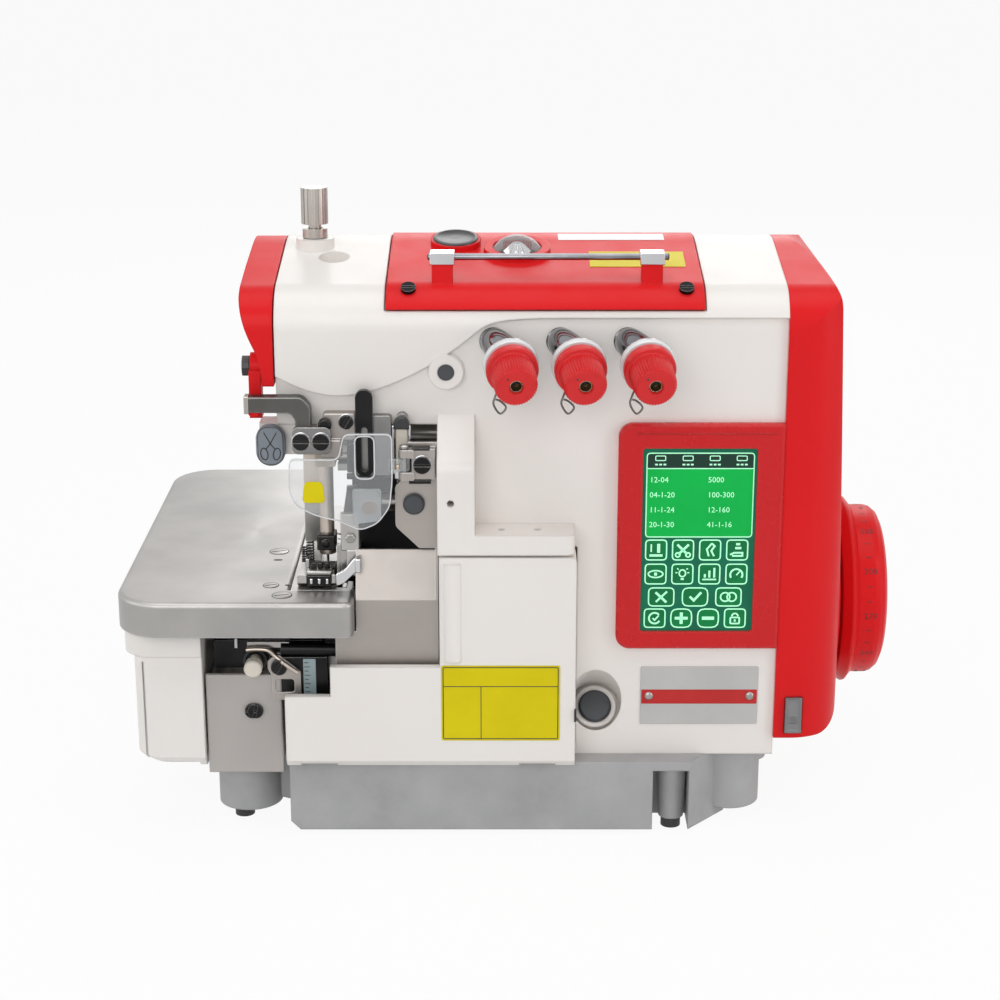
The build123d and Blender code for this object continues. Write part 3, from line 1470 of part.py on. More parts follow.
# === needle bar and its drive =======================================================================
with BuildPart() as needle_bar:
    with BuildSketch(Plane.XY.offset(needle_bar_bottom)):
        with Locations((needle_x, needle_y)):
            Circle(needle_bar_radius)
    extrude(amount=needle_bar_top - needle_bar_bottom)
    # connector block with the stud that the drive fork embraces
    box_between(
        (needle_x - 5.0, needle_y - 5.0, drive_shaft_z - 4.5),
        (needle_x + 5.0, needle_y + 5.0, drive_shaft_z + 4.5),
    )
    with BuildSketch(x_plane(needle_x + 5.0, needle_y, drive_shaft_z)):
        Circle(2.5)
    extrude(amount=8.0)
    # needle clamp with its screw at the lower end
    with BuildSketch(Plane.XY.offset(needle_bar_bottom - 10.0)):
        with Locations((needle_x, needle_y)):
            Circle(4.2)
    extrude(amount=10.0)
    with BuildSketch(Plane.XY.offset(needle_bar_bottom - 10.0)):
        with Locations((needle_x, needle_y)):
            Circle(needle_radius + running_gap)
    extrude(amount=10.0, mode=Mode.SUBTRACT)
    with BuildSketch(y_plane(needle_x, needle_y - 3.6, needle_bar_bottom - 5.0)):
        Circle(1.8)
    extrude(amount=2.4)
save(needle_bar, "needle_bar")

with BuildPart() as needle:
    with BuildSketch(Plane.XY.offset(needle_tip + 3.0)):
        with Locations((needle_x, needle_y)):
            Circle(needle_radius)
    extrude(amount=needle_bar_bottom - needle_tip - 3.0)
    with BuildSketch(Plane.XY.offset(needle_tip)) as point:
        with Locations((needle_x, needle_y)):
            Circle(0.15)
    with BuildSketch(Plane.XY.offset(needle_tip + 3.0)) as shoulder:
        with Locations((needle_x, needle_y)):
            Circle(needle_radius)
    loft([point.sketch.faces()[0], shoulder.sketch.faces()[0]])
save(needle, "needle")

fork_x = needle_x + 5.0 + 1.2
fork_width = 5.6
with BuildPart() as needle_drive_shaft:
    with BuildSketch(x_plane(fork_x, drive_shaft_y, drive_shaft_z)):
        Circle(drive_shaft_radius)
    extrude(amount=column_left + casting_wall - fork_x)
    # fork that embraces the stud of the needle bar
    reach = drive_shaft_y - needle_y
    with BuildSketch(x_plane(fork_x, drive_shaft_y, drive_shaft_z)):
        Circle(drive_shaft_radius + 4.0)
        with BuildLine():
            Polyline(
                (0, drive_shaft_radius + 3.0),
                (-reach - 5.0, 6.4),
                (-reach - 5.0, -6.4),
                (0, -drive_shaft_radius - 3.0),
                close=True,
            )
        make_face()
        with Locations((-reach - 3.0, 0)):
            Rectangle(16.0, 2 * 2.9, mode=Mode.SUBTRACT)
    extrude(amount=fork_width)
save(needle_drive_shaft, "needle_drive_shaft")

# === thread take-up, guides and guards at the front of the arm ========================================
take_up_x = -75.2
take_up_width = 8.4
take_up_bottom = 188.0
take_up_top = 231.0
guide_y = front_y - 5.0
with BuildPart() as take_up_lever:
    with BuildSketch(
        y_plane(take_up_x, guide_y - moving_gap, (take_up_bottom + take_up_top) / 2)
    ):
        SlotOverall(take_up_top - take_up_bottom, take_up_width, rotation=90)
        with Locations((0, -8.0)):
            SlotOverall(22.0, 3.0, rotation=90, mode=Mode.SUBTRACT)
    extrude(amount=2.4)
save(take_up_lever, "take_up_lever")

clamp_y = front_y - 8.0
with BuildPart() as thread_guides:
    # block behind the take-up lever
    with BuildSketch(y_plane(0, front_y, 0)) as block:
        with BuildLine():
            Polyline((-79.6, 188.0), (-62.6, 188.0), (-62.6, 217.5), (-79.6, 217.5), close=True)
        make_face()
        fillet(block.vertices(), 1.5)
    extrude(amount=front_y - guide_y)
    # plate in front of the needle bar and its foot under the arm
    with BuildSketch(y_plane(0, clamp_y, 0)) as guide_front:
        with BuildLine():
            Polyline((-109.4, 200.4), (-91.0, 200.4), (-91.0, 213.6), (-109.4, 213.6), close=True)
        make_face()
        fillet(guide_front.vertices(), 3.0)
    extrude(amount=4.0)
    box_between(
        (needle_x, clamp_y - 1.0, arm_underside - 3.0),
        (needle_x + 5.0, needle_y - bush_radius - 3.0, arm_underside),
    )
    # upright bar with its post beside the knife guard
    with BuildSketch(y_plane(-57.3, front_y, 197.0)):
        SlotOverall(43.0, 5.6, rotation=90)
    extrude(amount=4.5)
    with BuildSketch(y_plane(-57.3, front_y - 4.5, 214.5)):
        Circle(2.6)
    extrude(amount=2.4)
save(thread_guides, "thread_guides")

guard_pin_x = column_left - 15.5
guard_pin_y = front_y - 15.0
guard_pin_radius = 1.5
guard_bracket_bottom = 189.0
guard_bracket_top = 204.0
guard_lug = 4.0
with BuildPart() as eye_guard_bracket:
    # sheet that stands off the column and screens the knife drive
    with BuildSketch(y_plane(0, bracket_sheet_y + 2.4, 0)) as guard_face:
        with BuildLine():
            Polyline(
                (column_left, 153.0),
                (column_left, 206.0),
                (column_left - 14.0, 206.0),
                (column_left - 14.0, 190.0),
                (column_left - 20.3, 184.0),
                (column_left - 20.3, 164.0),
                (column_left - 9.0, 153.0),
                close=True,
            )
        make_face()
        fillet(guard_face.vertices().group_by(Axis.X)[0], 4.0)
    extrude(amount=2.4)
    # hinge block with two lugs
    box_between(
        (column_left - 12.0, front_y - 15.5, guard_bracket_bottom),
        (column_left - 1.0, bracket_sheet_y, guard_bracket_top),
    )
    for lug_z in (guard_bracket_bottom, guard_bracket_top - guard_lug):
        box_between(
            (guard_pin_x, guard_pin_y - 2.8, lug_z),
            (column_left - 11.0, guard_pin_y + 2.8, lug_z + guard_lug),
        )
        with BuildSketch(Plane.XY.offset(lug_z)):
            with Locations((guard_pin_x, guard_pin_y)):
                Circle(2.8)
        extrude(amount=guard_lug)
    with BuildSketch(Plane.XY.offset(guard_bracket_bottom)):
        with Locations((guard_pin_x, guard_pin_y)):
            Circle(guard_pin_radius + running_gap)
    extrude(amount=guard_bracket_top - guard_bracket_bottom, mode=Mode.SUBTRACT)
save(eye_guard_bracket, "eye_guard_bracket")

guard_back = guard_pin_y - 0.5
guard_sheet = 2.0
with BuildPart() as eye_guard:
    with BuildSketch(y_plane(0, guard_back, 0)) as guard_outline:
        with BuildLine():
            Polyline(
                (-109.0, 168.0),
                (-109.0, 199.0),
                (-83.5, 199.0),
                (-83.5, 214.0),
                (guard_pin_x - 4.2, 214.0),
                (guard_pin_x - 4.2, 176.0),
                (guard_pin_x - 14.0, 166.0),
                (-78.0, 160.0),
                (-86.0, 163.0),
                close=True,
            )
        make_face()
        fillet(guard_outline.vertices().group_by(Axis.X)[0], 4.0)
        fillet(guard_outline.vertices().sort_by_distance((guard_pin_x - 4.2, 214.0, 0))[0], 4.0)
        with Locations((take_up_x, 200.0)):
            SlotOverall(20.0, 6.0, rotation=90, mode=Mode.SUBTRACT)
    extrude(amount=guard_sheet)
    # knuckle between the bracket's lugs
    box_between(
        (guard_pin_x - 5.0, guard_back - guard_sheet, guard_bracket_bottom + guard_lug + moving_gap),
        (guard_pin_x, guard_back, guard_bracket_top - guard_lug - moving_gap),
    )
    with BuildSketch(Plane.XY.offset(guard_bracket_bottom + guard_lug + moving_gap)):
        with Locations((guard_pin_x, guard_pin_y)):
            Circle(2.8)
    extrude(amount=guard_bracket_top - guard_bracket_bottom - 2 * guard_lug - 2 * moving_gap)
    # pin through both lugs
    with BuildSketch(Plane.XY.offset(guard_bracket_bottom)):
        with Locations((guard_pin_x, guard_pin_y)):
            Circle(guard_pin_radius)
    extrude(amount=guard_bracket_top - guard_bracket_bottom)
save(eye_guard, "eye_guard")

# === hand lever and trimming button at the left end of the arm ==========================================
lever_y = front_y - 2.6

with BuildPart() as release_lever:
    with BuildSketch(y_plane(0, lever_y, 0)) as lever_outline:
        with BuildLine():
            Polyline(
                (-127.8, 216.0),
                (-111.0, 216.0),
                (-107.4, 213.0),
                (-107.4, 204.6),
                (-100.4, 204.6),
                (-100.4, 217.5),
                (-105.5, 224.4),
                (-127.8, 224.4),
                close=True,
            )
        make_face()
        fillet(lever_outline.vertices().sort_by_distance((-105.5, 224.4, 0))[0], 4.0)
        with Locations((lever_pivot_x, lever_pivot_z)):
            Circle(4.9)
            Circle(lever_pin_radius + running_gap, mode=Mode.SUBTRACT)
    extrude(amount=4.6)
save(release_lever, "release_lever")

with BuildPart() as trim_button:
    with BuildSketch(y_plane(button_x, button_housing_front - button_travel - moving_gap, button_z)):
        SlotOverall(20.4, 14.0, rotation=90)
    extrude(amount=3.4)
    chamfer(trim_button.faces().sort_by(Axis.Y)[0].edges(), 0.8)
    with BuildSketch(y_plane(button_x, button_housing_front - button_travel - 1.0, button_z)):
        Circle(button_stem_radius)
    extrude(amount=-button_travel - 4.0)
save(trim_button, "trim_button")

# === knives ==============================================================================================
with BuildPart() as upper_knife_arm:
    with BuildSketch(x_plane(knife_right, knife_shaft_y, knife_shaft_z)) as arm_shape:
        Circle(knife_shaft_radius + 3.5)
        with BuildLine():
            Polyline(
                (0, knife_shaft_radius + 3.0),
                (-38.0, 1.0),
                (-49.0, -6.0),
                (-49.0, -20.0),
                (-42.0, -20.0),
                (-39.0, -9.0),
                (0, -knife_shaft_radius - 3.0),
                close=True,
            )
        make_face()
    extrude(amount=6.0)
    with BuildSketch(x_plane(knife_right, knife_shaft_y, knife_shaft_z)):
        Circle(knife_shaft_radius)
    extrude(amount=column_left + casting_wall - knife_right)
save(upper_knife_arm, "upper_knife_arm")

with BuildPart() as upper_knife:
    with BuildSketch(x_plane(knife_left, knife_shaft_y, knife_shaft_z)):
        with BuildLine():
            Polyline(
                (-48.6, -8.0),
                (-42.4, -8.0),
                (-42.4, cloth_z - knife_shaft_z + 3.4),
                (-48.6, cloth_z - knife_shaft_z + 2.4),
                close=True,
            )
        make_face()
    extrude(amount=knife_thickness)
save(upper_knife, "upper_knife")

lower_knife_left = knife_right + 0.3
with BuildPart() as lower_knife:
    # upright holder standing on the chamber's floor
    with BuildSketch(Plane.YZ.offset(lower_knife_left - 9.0)):
        with BuildLine():
            Polyline(
                (front_y + 1.0, pan_top + chamber_floor),
                (front_y + 1.0, 121.0),
                (front_y + 7.0, 121.0),
                (front_y + 7.0, pan_top + chamber_floor + 8.0),
                (front_y + 16.0, pan_top + chamber_floor + 4.0),
                (front_y + 16.0, pan_top + chamber_floor),
                close=True,
            )
        make_face()
    extrude(amount=9.0)
    # blade on the holder's right side
    box_between(
        (lower_knife_left, front_y + 1.0, 108.0),
        (lower_knife_left + knife_thickness, front_y + 7.0, cloth_z - 0.2),
    )
save(lower_knife, "lower_knife")

# === loopers =============================================================================================
lower_looper_y = needle_y - 3.5
upper_looper_y = needle_y + 1.8
with BuildPart() as lower_looper:
    pivot_x, pivot_z = lower_looper_pivot
    with BuildSketch(y_plane(pivot_x, lower_looper_y + looper_blade / 2, pivot_z)) as hook:
        Circle(looper_shaft_radius + 4.0)
        with BuildLine():
            start = (-looper_shaft_radius - 2.5, 0.0)
            Spline(start, (-9.0, 30.0), (-12.0, 46.0), (-24.0, 55.5))
            Line((-24.0, 55.5), (-8.0, 53.0))
            Spline((-8.0, 53.0), (-2.0, 46.0), (2.0, 30.0), (looper_shaft_radius + 2.5, 0.0))
            Line((looper_shaft_radius + 2.5, 0.0), start)
        make_face()
    extrude(amount=looper_blade)
    with BuildSketch(y_plane(pivot_x, chamber_y + casting_wall, pivot_z)):
        Circle(looper_shaft_radius)
    extrude(amount=chamber_y + casting_wall - lower_looper_y + looper_blade / 2 + 1.0)
save(lower_looper, "lower_looper")

upper_looper_lean = math.radians(33.0)
looper_rod_axis = Vector(-math.sin(upper_looper_lean), 0, math.cos(upper_looper_lean))
looper_rod_radius = 3.0
rod_x, rod_z = -63.0, 86.0
rod_y = upper_looper_y + 7.0
with BuildPart() as upper_looper_guide:
    guide_low = Plane(
        origin=Vector(rod_x, rod_y, rod_z) - looper_rod_axis * 14.0,
        x_dir=(0, 1, 0),
        z_dir=looper_rod_axis,
    )
    with BuildSketch(guide_low):
        Circle(looper_rod_radius + 4.0)
        with Locations(((chamber_y - rod_y) / 2, 0)):
            Rectangle(chamber_y - rod_y, 9.0)
        Circle(looper_rod_radius + running_gap, mode=Mode.SUBTRACT)
    extrude(amount=12.0)
save(upper_looper_guide, "upper_looper_guide")

with BuildPart() as upper_looper:
    rod_low = Plane(
        origin=Vector(rod_x, rod_y, rod_z) - looper_rod_axis * 28.0,
        x_dir=(0, 1, 0),
        z_dir=looper_rod_axis,
    )
    with BuildSketch(rod_low):
        Circle(looper_rod_radius)
    extrude(amount=54.0)
    # blade carried beside the rod, bent over towards the needle
    with BuildSketch(y_plane(0, upper_looper_y + looper_blade / 2, 0)):
        with BuildLine():
            Line((-76.0, 101.0), (-70.5, 104.0))
            Line((-70.5, 104.0), (-78.0, 116.5))
            Spline((-78.0, 116.5), (-80.0, 121.0), (-85.5, 122.5))
            Spline((-85.5, 122.5), (-83.5, 117.0), (-76.0, 101.0))
        make_face()
    extrude(amount=looper_blade)
    box_between((-76.5, upper_looper_y - 1.0, 99.5), (-69.5, rod_y, 106.0))
save(upper_looper, "upper_looper")

# === front cover and its guard ============================================================================


def draw_cover_outline(sketch):
    """Front cover seen from the operator, with its steps at the left."""
    top = ledge_bottom - cover_top_gap
    with BuildLine() as outline:
        Polyline(
            (cover_left, cover_bottom),
            (cover_left, cover_step_z),
            (cover_step_x, cover_step_z),
            (cover_step_x, cover_recess_z),
            (cover_recess_right, cover_recess_z),
            (cover_recess_right, top),
            (cover_right, top),
            (cover_right, cover_bottom),
            close=True,
        )
    make_face(outline.edges())
    fillet(sketch.vertices().sort_by_distance((cover_right, top, 0))[0], 3.0)


with BuildPart() as front_cover:
    with BuildSketch(y_plane(0, front_y - cover_gap, 0)) as cover_shape:
        draw_cover_outline(cover_shape)
    extrude(amount=ledge_proud - cover_gap)
    low_front = front_cover.edges().filter_by(Axis.X).group_by(Axis.Z)[0].sort_by(Axis.Y)[0]
    chamfer(low_front, 3.6)
    with BuildSketch(y_plane(0, front_y - cover_gap, 0)) as cover_inside:
        draw_cover_outline(cover_inside)
        offset(amount=-cover_wall, kind=Kind.INTERSECTION, mode=Mode.REPLACE)
    extrude(amount=ledge_proud - cover_gap - cover_wall, mode=Mode.SUBTRACT)
    # its left steps have only a narrow edge turned back
    box_between(
        (cover_left - 1.0, proud_y + cover_return, cover_rod_z + cover_knuckle_radius + 1.0),
        (cover_step_x, front_y, cover_step_z + 1.0),
        Mode.SUBTRACT,
    )
    box_between(
        (cover_step_x - 1.0, proud_y + cover_return, cover_step_z - cover_wall - 1.0),
        (cover_recess_right, front_y, cover_recess_z + 1.0),
        Mode.SUBTRACT,
    )
    # back lower edge cut away so that it clears the casting while the cover tips
    box_between(
        (cover_left - 1.0, front_y - 3.0, cover_bottom - 1.0),
        (cover_right + 1.0, front_y, cover_rod_z + 1.0),
        Mode.SUBTRACT,
    )
    # knuckles on the hinge rod
    for x in cover_knuckle_x:
        with BuildSketch(x_plane(x - cover_lug_width / 2, cover_rod_y, cover_rod_z)):
            Circle(cover_knuckle_radius)
            with Locations((-(cover_rod_behind - 1.0) / 2, 0)):
                Rectangle(cover_rod_behind - 1.0, 2 * cover_knuckle_radius)
        extrude(amount=cover_lug_width)
    # openings for the casting's lugs, long enough for the sideways travel
    for x in cover_lug_x:
        box_between(
            (
                x - cover_lug_width / 2 - cover_slide - 1.0,
                cover_rod_y - cover_knuckle_radius - 0.6,
                cover_bottom - 1.0,
            ),
            (x + cover_lug_width / 2 + 1.0, front_y, cover_rod_z - 1.0),
            Mode.SUBTRACT,
        )
    with BuildSketch(x_plane(cover_left + 5.0, cover_rod_y, cover_rod_z)):
        Circle(cover_rod_radius + running_gap)
    extrude(amount=cover_right - cover_left - 10.0, mode=Mode.SUBTRACT)
    # rounded grip beside the recess
    with BuildSketch(Plane.XY.offset(cover_recess_z + 3.0)):
        with Locations((cover_recess_right + 6.5, proud_y + 1.0)):
            Ellipse(4.2, 3.6)
    extrude(amount=ledge_bottom - cover_top_gap - cover_recess_z - 6.0)
save(front_cover, "front_cover")

with BuildPart() as cover_hinge_rod:
    with BuildSketch(x_plane(cover_lug_x[0] - 12.0, cover_rod_y, cover_rod_z)):
        Circle(cover_rod_radius)
    extrude(amount=cover_lug_x[1] - cover_lug_x[0] + 22.0)
save(cover_hinge_rod, "cover_hinge_rod")

guard_fold_z = cover_recess_z + 32.1
guard_low_z = cover_recess_z - 2.5
guard_left = -91.0
with BuildPart() as looper_guard:
    with BuildSketch(Plane.YZ.offset(guard_left)):
        with BuildLine():
            Polyline(
                (front_y - 12.0, guard_low_z),
                (front_y - 12.0, guard_fold_z),
                (front_y - 4.0, ledge_bottom - 2.0),
                (front_y - 2.6, ledge_bottom - 2.0),
                (front_y - 10.6, guard_fold_z),
                (front_y - 10.6, guard_low_z),
                close=True,
            )
        make_face()
    extrude(amount=column_left - 1.5 - guard_left)
    with BuildSketch(Plane.YZ.offset(column_left - 1.5)):
        with BuildLine():
            Polyline(
                (front_y - 12.0, guard_low_z),
                (front_y - 12.0, guard_fold_z),
                (front_y - 6.0, ledge_bottom + 8.0),
                (front_y, ledge_bottom + 8.0),
                (front_y, guard_fold_z),
                (front_y - 4.0, guard_low_z),
                close=True,
            )
        make_face()
    extrude(amount=1.5)
    # clear of the cloth plate's nose
    box_between(
        (guard_left - 1.0, front_y - 14.0, cloth_z - plate_rim - 1.0),
        (plate_nose_right + seam_gap, front_y, ledge_bottom),
        Mode.SUBTRACT,
    )
save(looper_guard, "looper_guard")

# === fittings under the cloth plate, left of the front cover ===============================================
side_left = -156.0
side_right = -118.5
side_top = 86.4
side_bottom = 34.1
side_front = front_y - 9.0
with BuildPart() as side_plate:
    box_between(
        (side_left, side_front, side_bottom), (side_right, side_front + 2.4, side_top)
    )
    for flange_x in (side_left, side_right - 2.4):
        box_between(
            (flange_x, side_front, pan_top + 1.0), (flange_x + 2.4, chamber_y, side_top - 8.0)
        )
    fillet(side_plate.edges().filter_by(Axis.Z).group_by(Axis.Y)[0], 1.0)
save(side_plate, "side_plate")

stitch_button_x = -131.7
stitch_button_z = 91.6
stitch_button_radius = 4.4
stitch_stem_radius = 3.0
block_front_y = front_y - 2.0
with BuildPart() as adjuster_block:
    with BuildSketch(Plane.XZ.offset(-chamber_y)):
        with BuildLine():
            Polyline(
                (-152.0, side_top + 1.0),
                (-117.0, side_top + 1.0),
                (-117.0, cover_step_z + 1.6),
                (lower_knife_left - 10.0, cover_step_z + 1.6),
                (lower_knife_left - 10.0, bed_top - 2.0),
                (-152.0, bed_top - 2.0),
                close=True,
            )
        make_face()
    extrude(amount=chamber_y - block_front_y)
    with BuildSketch(y_plane(stitch_button_x, block_front_y, stitch_button_z)):
        Circle(stitch_stem_radius + running_gap)
    extrude(amount=-14.0, mode=Mode.SUBTRACT)
save(adjuster_block, "adjuster_block")

with BuildPart() as stitch_button:
    with BuildSketch(y_plane(stitch_button_x, side_front - moving_gap, stitch_button_z)):
        Circle(stitch_button_radius)
    extrude(amount=6.0)
    chamfer(stitch_button.edges().sort_by(Axis.Y)[0], 0.8)
    with BuildSketch(y_plane(stitch_button_x, side_front - moving_gap, stitch_button_z)):
        Circle(stitch_stem_radius)
    extrude(amount=-12.0)
save(stitch_button, "stitch_button")

feed_pivot_x = -119.5
feed_pivot_z = 91.0
feed_pin_radius = 2.5
with BuildPart() as feed_lever:
    with BuildSketch(y_plane(feed_pivot_x, block_front_y - moving_gap, feed_pivot_z)):
        Circle(5.5)
        with BuildLine():
            Polyline(
                (0, 5.5), (6.0, 3.0), (19.0, -3.5), (19.0, -8.5), (8.0, -8.5), (-4.0, -3.6),
                close=True,
            )
        make_face()
        Circle(feed_pin_radius + running_gap, mode=Mode.SUBTRACT)
    extrude(amount=3.0)
    box_between((-117.5, front_y - 5.4, 95.2), (-114.5, block_front_y - moving_gap, 102.8))
    box_between((-135.0, front_y - 6.8, 99.8), (-114.5, block_front_y - moving_gap, 102.8))
save(feed_lever, "feed_lever")

# === slotted screws, all of one kind ======================================================================
front_screw_angle = math.radians(30.0)
with BuildPart() as slotted_screws:
    for screw_x in (top_cover_left + 10.5, top_cover_right - 8.5):
        slotted_screw(shoulder_plane(screw_x, front_screw_angle, cover_outer), 3.6, 2.0)
    for screw_x in (-105.1, -95.6):
        slotted_screw(y_plane(screw_x, clamp_y - 4.0, 206.9), 4.1, 2.0)
    slotted_screw(y_plane(column_left - 7.0, front_y - 15.5, 196.4), 4.2, 2.0)
    slotted_screw(y_plane(side_right - 14.7, side_front, side_top - 18.9), 3.8, 1.4)
    for screw_y in (chamber_y + 8.0, needle_plate_back + 12.0, cheek_back - 6.0):
        plate_screw_spot = Plane.XY.offset(cloth_z).shift_origin(
            (needle_plate_right - 3.0, screw_y, cloth_z)
        )
        slotted_screw(plate_screw_spot, 2.6, 0.6)
    # shouldered pivot screw of the feed lever
    with BuildSketch(y_plane(feed_pivot_x, block_front_y, feed_pivot_z)):
        Circle(feed_pin_radius)
    extrude(amount=3.0 + 2 * moving_gap)
    slotted_screw(
        y_plane(feed_pivot_x, block_front_y - 3.0 - 2 * moving_gap, feed_pivot_z), 4.0, 1.6
    )
save(slotted_screws, "slotted_screws")
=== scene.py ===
"""Looks of an industrial overlock sewing machine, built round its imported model.

Everything is in metres. X runs from the cloth plate to the handwheel, Y away from the
operator, Z up from the surface under the rubber feet. Added pieces are drawn in
millimetres in the same axes and turned into metres as they are settled.
"""

import json
import math

import bmesh
import bpy
from mathutils import Matrix, Vector


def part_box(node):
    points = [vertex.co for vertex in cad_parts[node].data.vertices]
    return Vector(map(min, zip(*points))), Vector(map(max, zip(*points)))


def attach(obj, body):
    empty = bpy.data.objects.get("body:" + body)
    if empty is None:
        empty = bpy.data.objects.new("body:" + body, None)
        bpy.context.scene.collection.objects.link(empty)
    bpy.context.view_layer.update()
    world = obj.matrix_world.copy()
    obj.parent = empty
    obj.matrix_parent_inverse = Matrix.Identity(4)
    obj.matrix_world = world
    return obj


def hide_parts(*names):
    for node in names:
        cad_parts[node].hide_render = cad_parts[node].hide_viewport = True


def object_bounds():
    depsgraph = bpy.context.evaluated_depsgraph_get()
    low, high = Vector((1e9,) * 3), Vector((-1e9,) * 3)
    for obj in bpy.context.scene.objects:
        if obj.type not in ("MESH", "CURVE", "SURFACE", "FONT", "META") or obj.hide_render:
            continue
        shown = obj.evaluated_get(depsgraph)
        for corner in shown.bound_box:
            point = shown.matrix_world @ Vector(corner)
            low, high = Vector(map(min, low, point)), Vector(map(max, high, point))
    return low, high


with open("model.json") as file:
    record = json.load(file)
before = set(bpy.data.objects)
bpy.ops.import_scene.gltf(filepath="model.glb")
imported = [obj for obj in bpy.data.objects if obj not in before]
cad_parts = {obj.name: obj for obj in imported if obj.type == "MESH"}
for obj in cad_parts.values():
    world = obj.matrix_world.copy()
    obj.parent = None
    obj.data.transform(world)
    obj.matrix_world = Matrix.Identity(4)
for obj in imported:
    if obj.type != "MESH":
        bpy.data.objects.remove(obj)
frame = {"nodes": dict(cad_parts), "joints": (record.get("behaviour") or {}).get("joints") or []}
cad_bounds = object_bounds()
nodes = frame["nodes"]
joints = {joint["name"]: joint for joint in frame["joints"]}

MM = 0.001
MACHINE = Matrix.Identity(4)
UP = (0, 0, 1)
ARM_FACE = -79.0        # front of the arm over the needle
COVER_FACE = -98.5      # flat front of the looper cover
SUNK = -0.05            # drawn lines start just under the surface they lie on

LINT = (0.62, 0.60, 0.56)
PLASTIC_IOR = 1.49


# === shared surface effects ==========================================================

def effect(name, inputs, outputs):
    """An empty shader node group with named sockets, ready to be filled."""
    group = bpy.data.node_groups.new(name, "ShaderNodeTree")
    for label, kind, value in inputs:
        group.interface.new_socket(label, in_out="INPUT", socket_type=kind).default_value = value
    for label, kind in outputs:
        group.interface.new_socket(label, in_out="OUTPUT", socket_type=kind)
    return group, group.nodes.new("NodeGroupInput"), group.nodes.new("NodeGroupOutput")


def wire(tree, *pairs):
    for out_socket, in_socket in pairs:
        tree.links.new(out_socket, in_socket)


def add_node(tree, kind, **settings):
    made = tree.nodes.new(kind)
    for key, value in settings.items():
        setattr(made, key, value)
    return made


def feed(tree, made, **values):
    """Gives a node's sockets a number, a colour or another node's output."""
    for label, value in values.items():
        socket = made.inputs[label.replace("_", " ")]
        if isinstance(value, (int, float)):
            socket.default_value = value
        else:
            wire(tree, (value, socket))


def add_math(tree, operation, first, second):
    """A Math node; each operand is a socket or a number."""
    made = add_node(tree, "ShaderNodeMath", operation=operation)
    for socket, operand in zip(made.inputs, (first, second)):
        if isinstance(operand, (int, float)):
            socket.default_value = operand
        else:
            wire(tree, (operand, socket))
    return made.outputs[0]


def add_noise(tree, scale, detail=2.0, roughness=0.5, vector=None):
    made = add_node(tree, "ShaderNodeTexNoise")
    if vector is None:
        vector = add_node(tree, "ShaderNodeTexCoord").outputs["Object"]
    feed(tree, made, Scale=scale, Detail=detail, Roughness=roughness, Vector=vector)
    return made.outputs["Fac"]


def remap(tree, value, low, high, to_low=0.0, to_high=1.0):
    made = add_node(tree, "ShaderNodeMapRange")
    feed(tree, made, Value=value, From_Min=low, From_Max=high, To_Min=to_low, To_Max=to_high)
    return made.outputs["Result"]


def mix_colour(tree, factor, first, second):
    made = add_node(tree, "ShaderNodeMix", data_type="RGBA")
    wire(tree, (factor, made.inputs["Factor"]))
    for key, value in (("A", first), ("B", second)):
        socket = [s for s in made.inputs if s.name == key and s.type == "RGBA"][0]
        if isinstance(value, tuple):
            socket.default_value = (*value, 1.0)
        else:
            wire(tree, (value, socket))
    return [s for s in made.outputs if s.type == "RGBA"][0]


def weigh(tree, first, first_share, second, second_share):
    """Two values added by their shares."""
    return add_math(tree, "ADD", add_math(tree, "MULTIPLY", first, first_share),
                    add_math(tree, "MULTIPLY", second, second_share))


def make_rounded_edges():
    """Softens sharp edges a little and marks them: paint thins there, and metal is lightened there, partly
    as rubbed wear and partly as a painted edge highlight.
    """
    group, taken, given = effect(
        "rounded_edges",
        [("Radius", "NodeSocketFloat", 0.0008)],
        [("Normal", "NodeSocketVector"), ("Edge", "NodeSocketFloat")],
    )
    bevel = add_node(group, "ShaderNodeBevel", samples=4)
    feed(group, bevel, Radius=taken.outputs["Radius"])
    geometry = add_node(group, "ShaderNodeNewGeometry")
    dot = add_node(group, "ShaderNodeVectorMath", operation="DOT_PRODUCT")
    wire(
        group,
        (bevel.outputs["Normal"], dot.inputs[0]),
        (geometry.outputs["Normal"], dot.inputs[1]),
        (bevel.outputs["Normal"], given.inputs["Normal"]),
        (remap(group, dot.outputs["Value"], 0.995, 0.80), given.inputs["Edge"]),
    )
    return group


def make_enamel_skin():
    """Sprayed enamel: faint orange peel, uneven gloss and a slow drift of colour."""
    group, taken, given = effect(
        "enamel_skin",
        [
            ("Colour", "NodeSocketColor", (0.8, 0.8, 0.8, 1)),
            ("Shade", "NodeSocketColor", (0.7, 0.7, 0.7, 1)),
            ("Peel Scale", "NodeSocketFloat", 420.0),
            ("Gloss Low", "NodeSocketFloat", 0.25),
            ("Gloss High", "NodeSocketFloat", 0.4),
        ],
        [("Colour", "NodeSocketColor"), ("Roughness", "NodeSocketFloat"), ("Peel", "NodeSocketFloat")],
    )
    drift = remap(group, add_noise(group, 9.0, 3.0), 0.3, 0.7)
    rub = remap(group, add_noise(group, 60.0, 4.0, 0.6), 0.3, 0.75)
    feed(
        group, given,
        Roughness=remap(group, rub, 0.0, 1.0, taken.outputs["Gloss Low"], taken.outputs["Gloss High"]),
        Colour=mix_colour(group, drift, taken.outputs["Colour"], taken.outputs["Shade"]),
        Peel=add_noise(group, taken.outputs["Peel Scale"], 1.5, 0.45),
    )
    return group


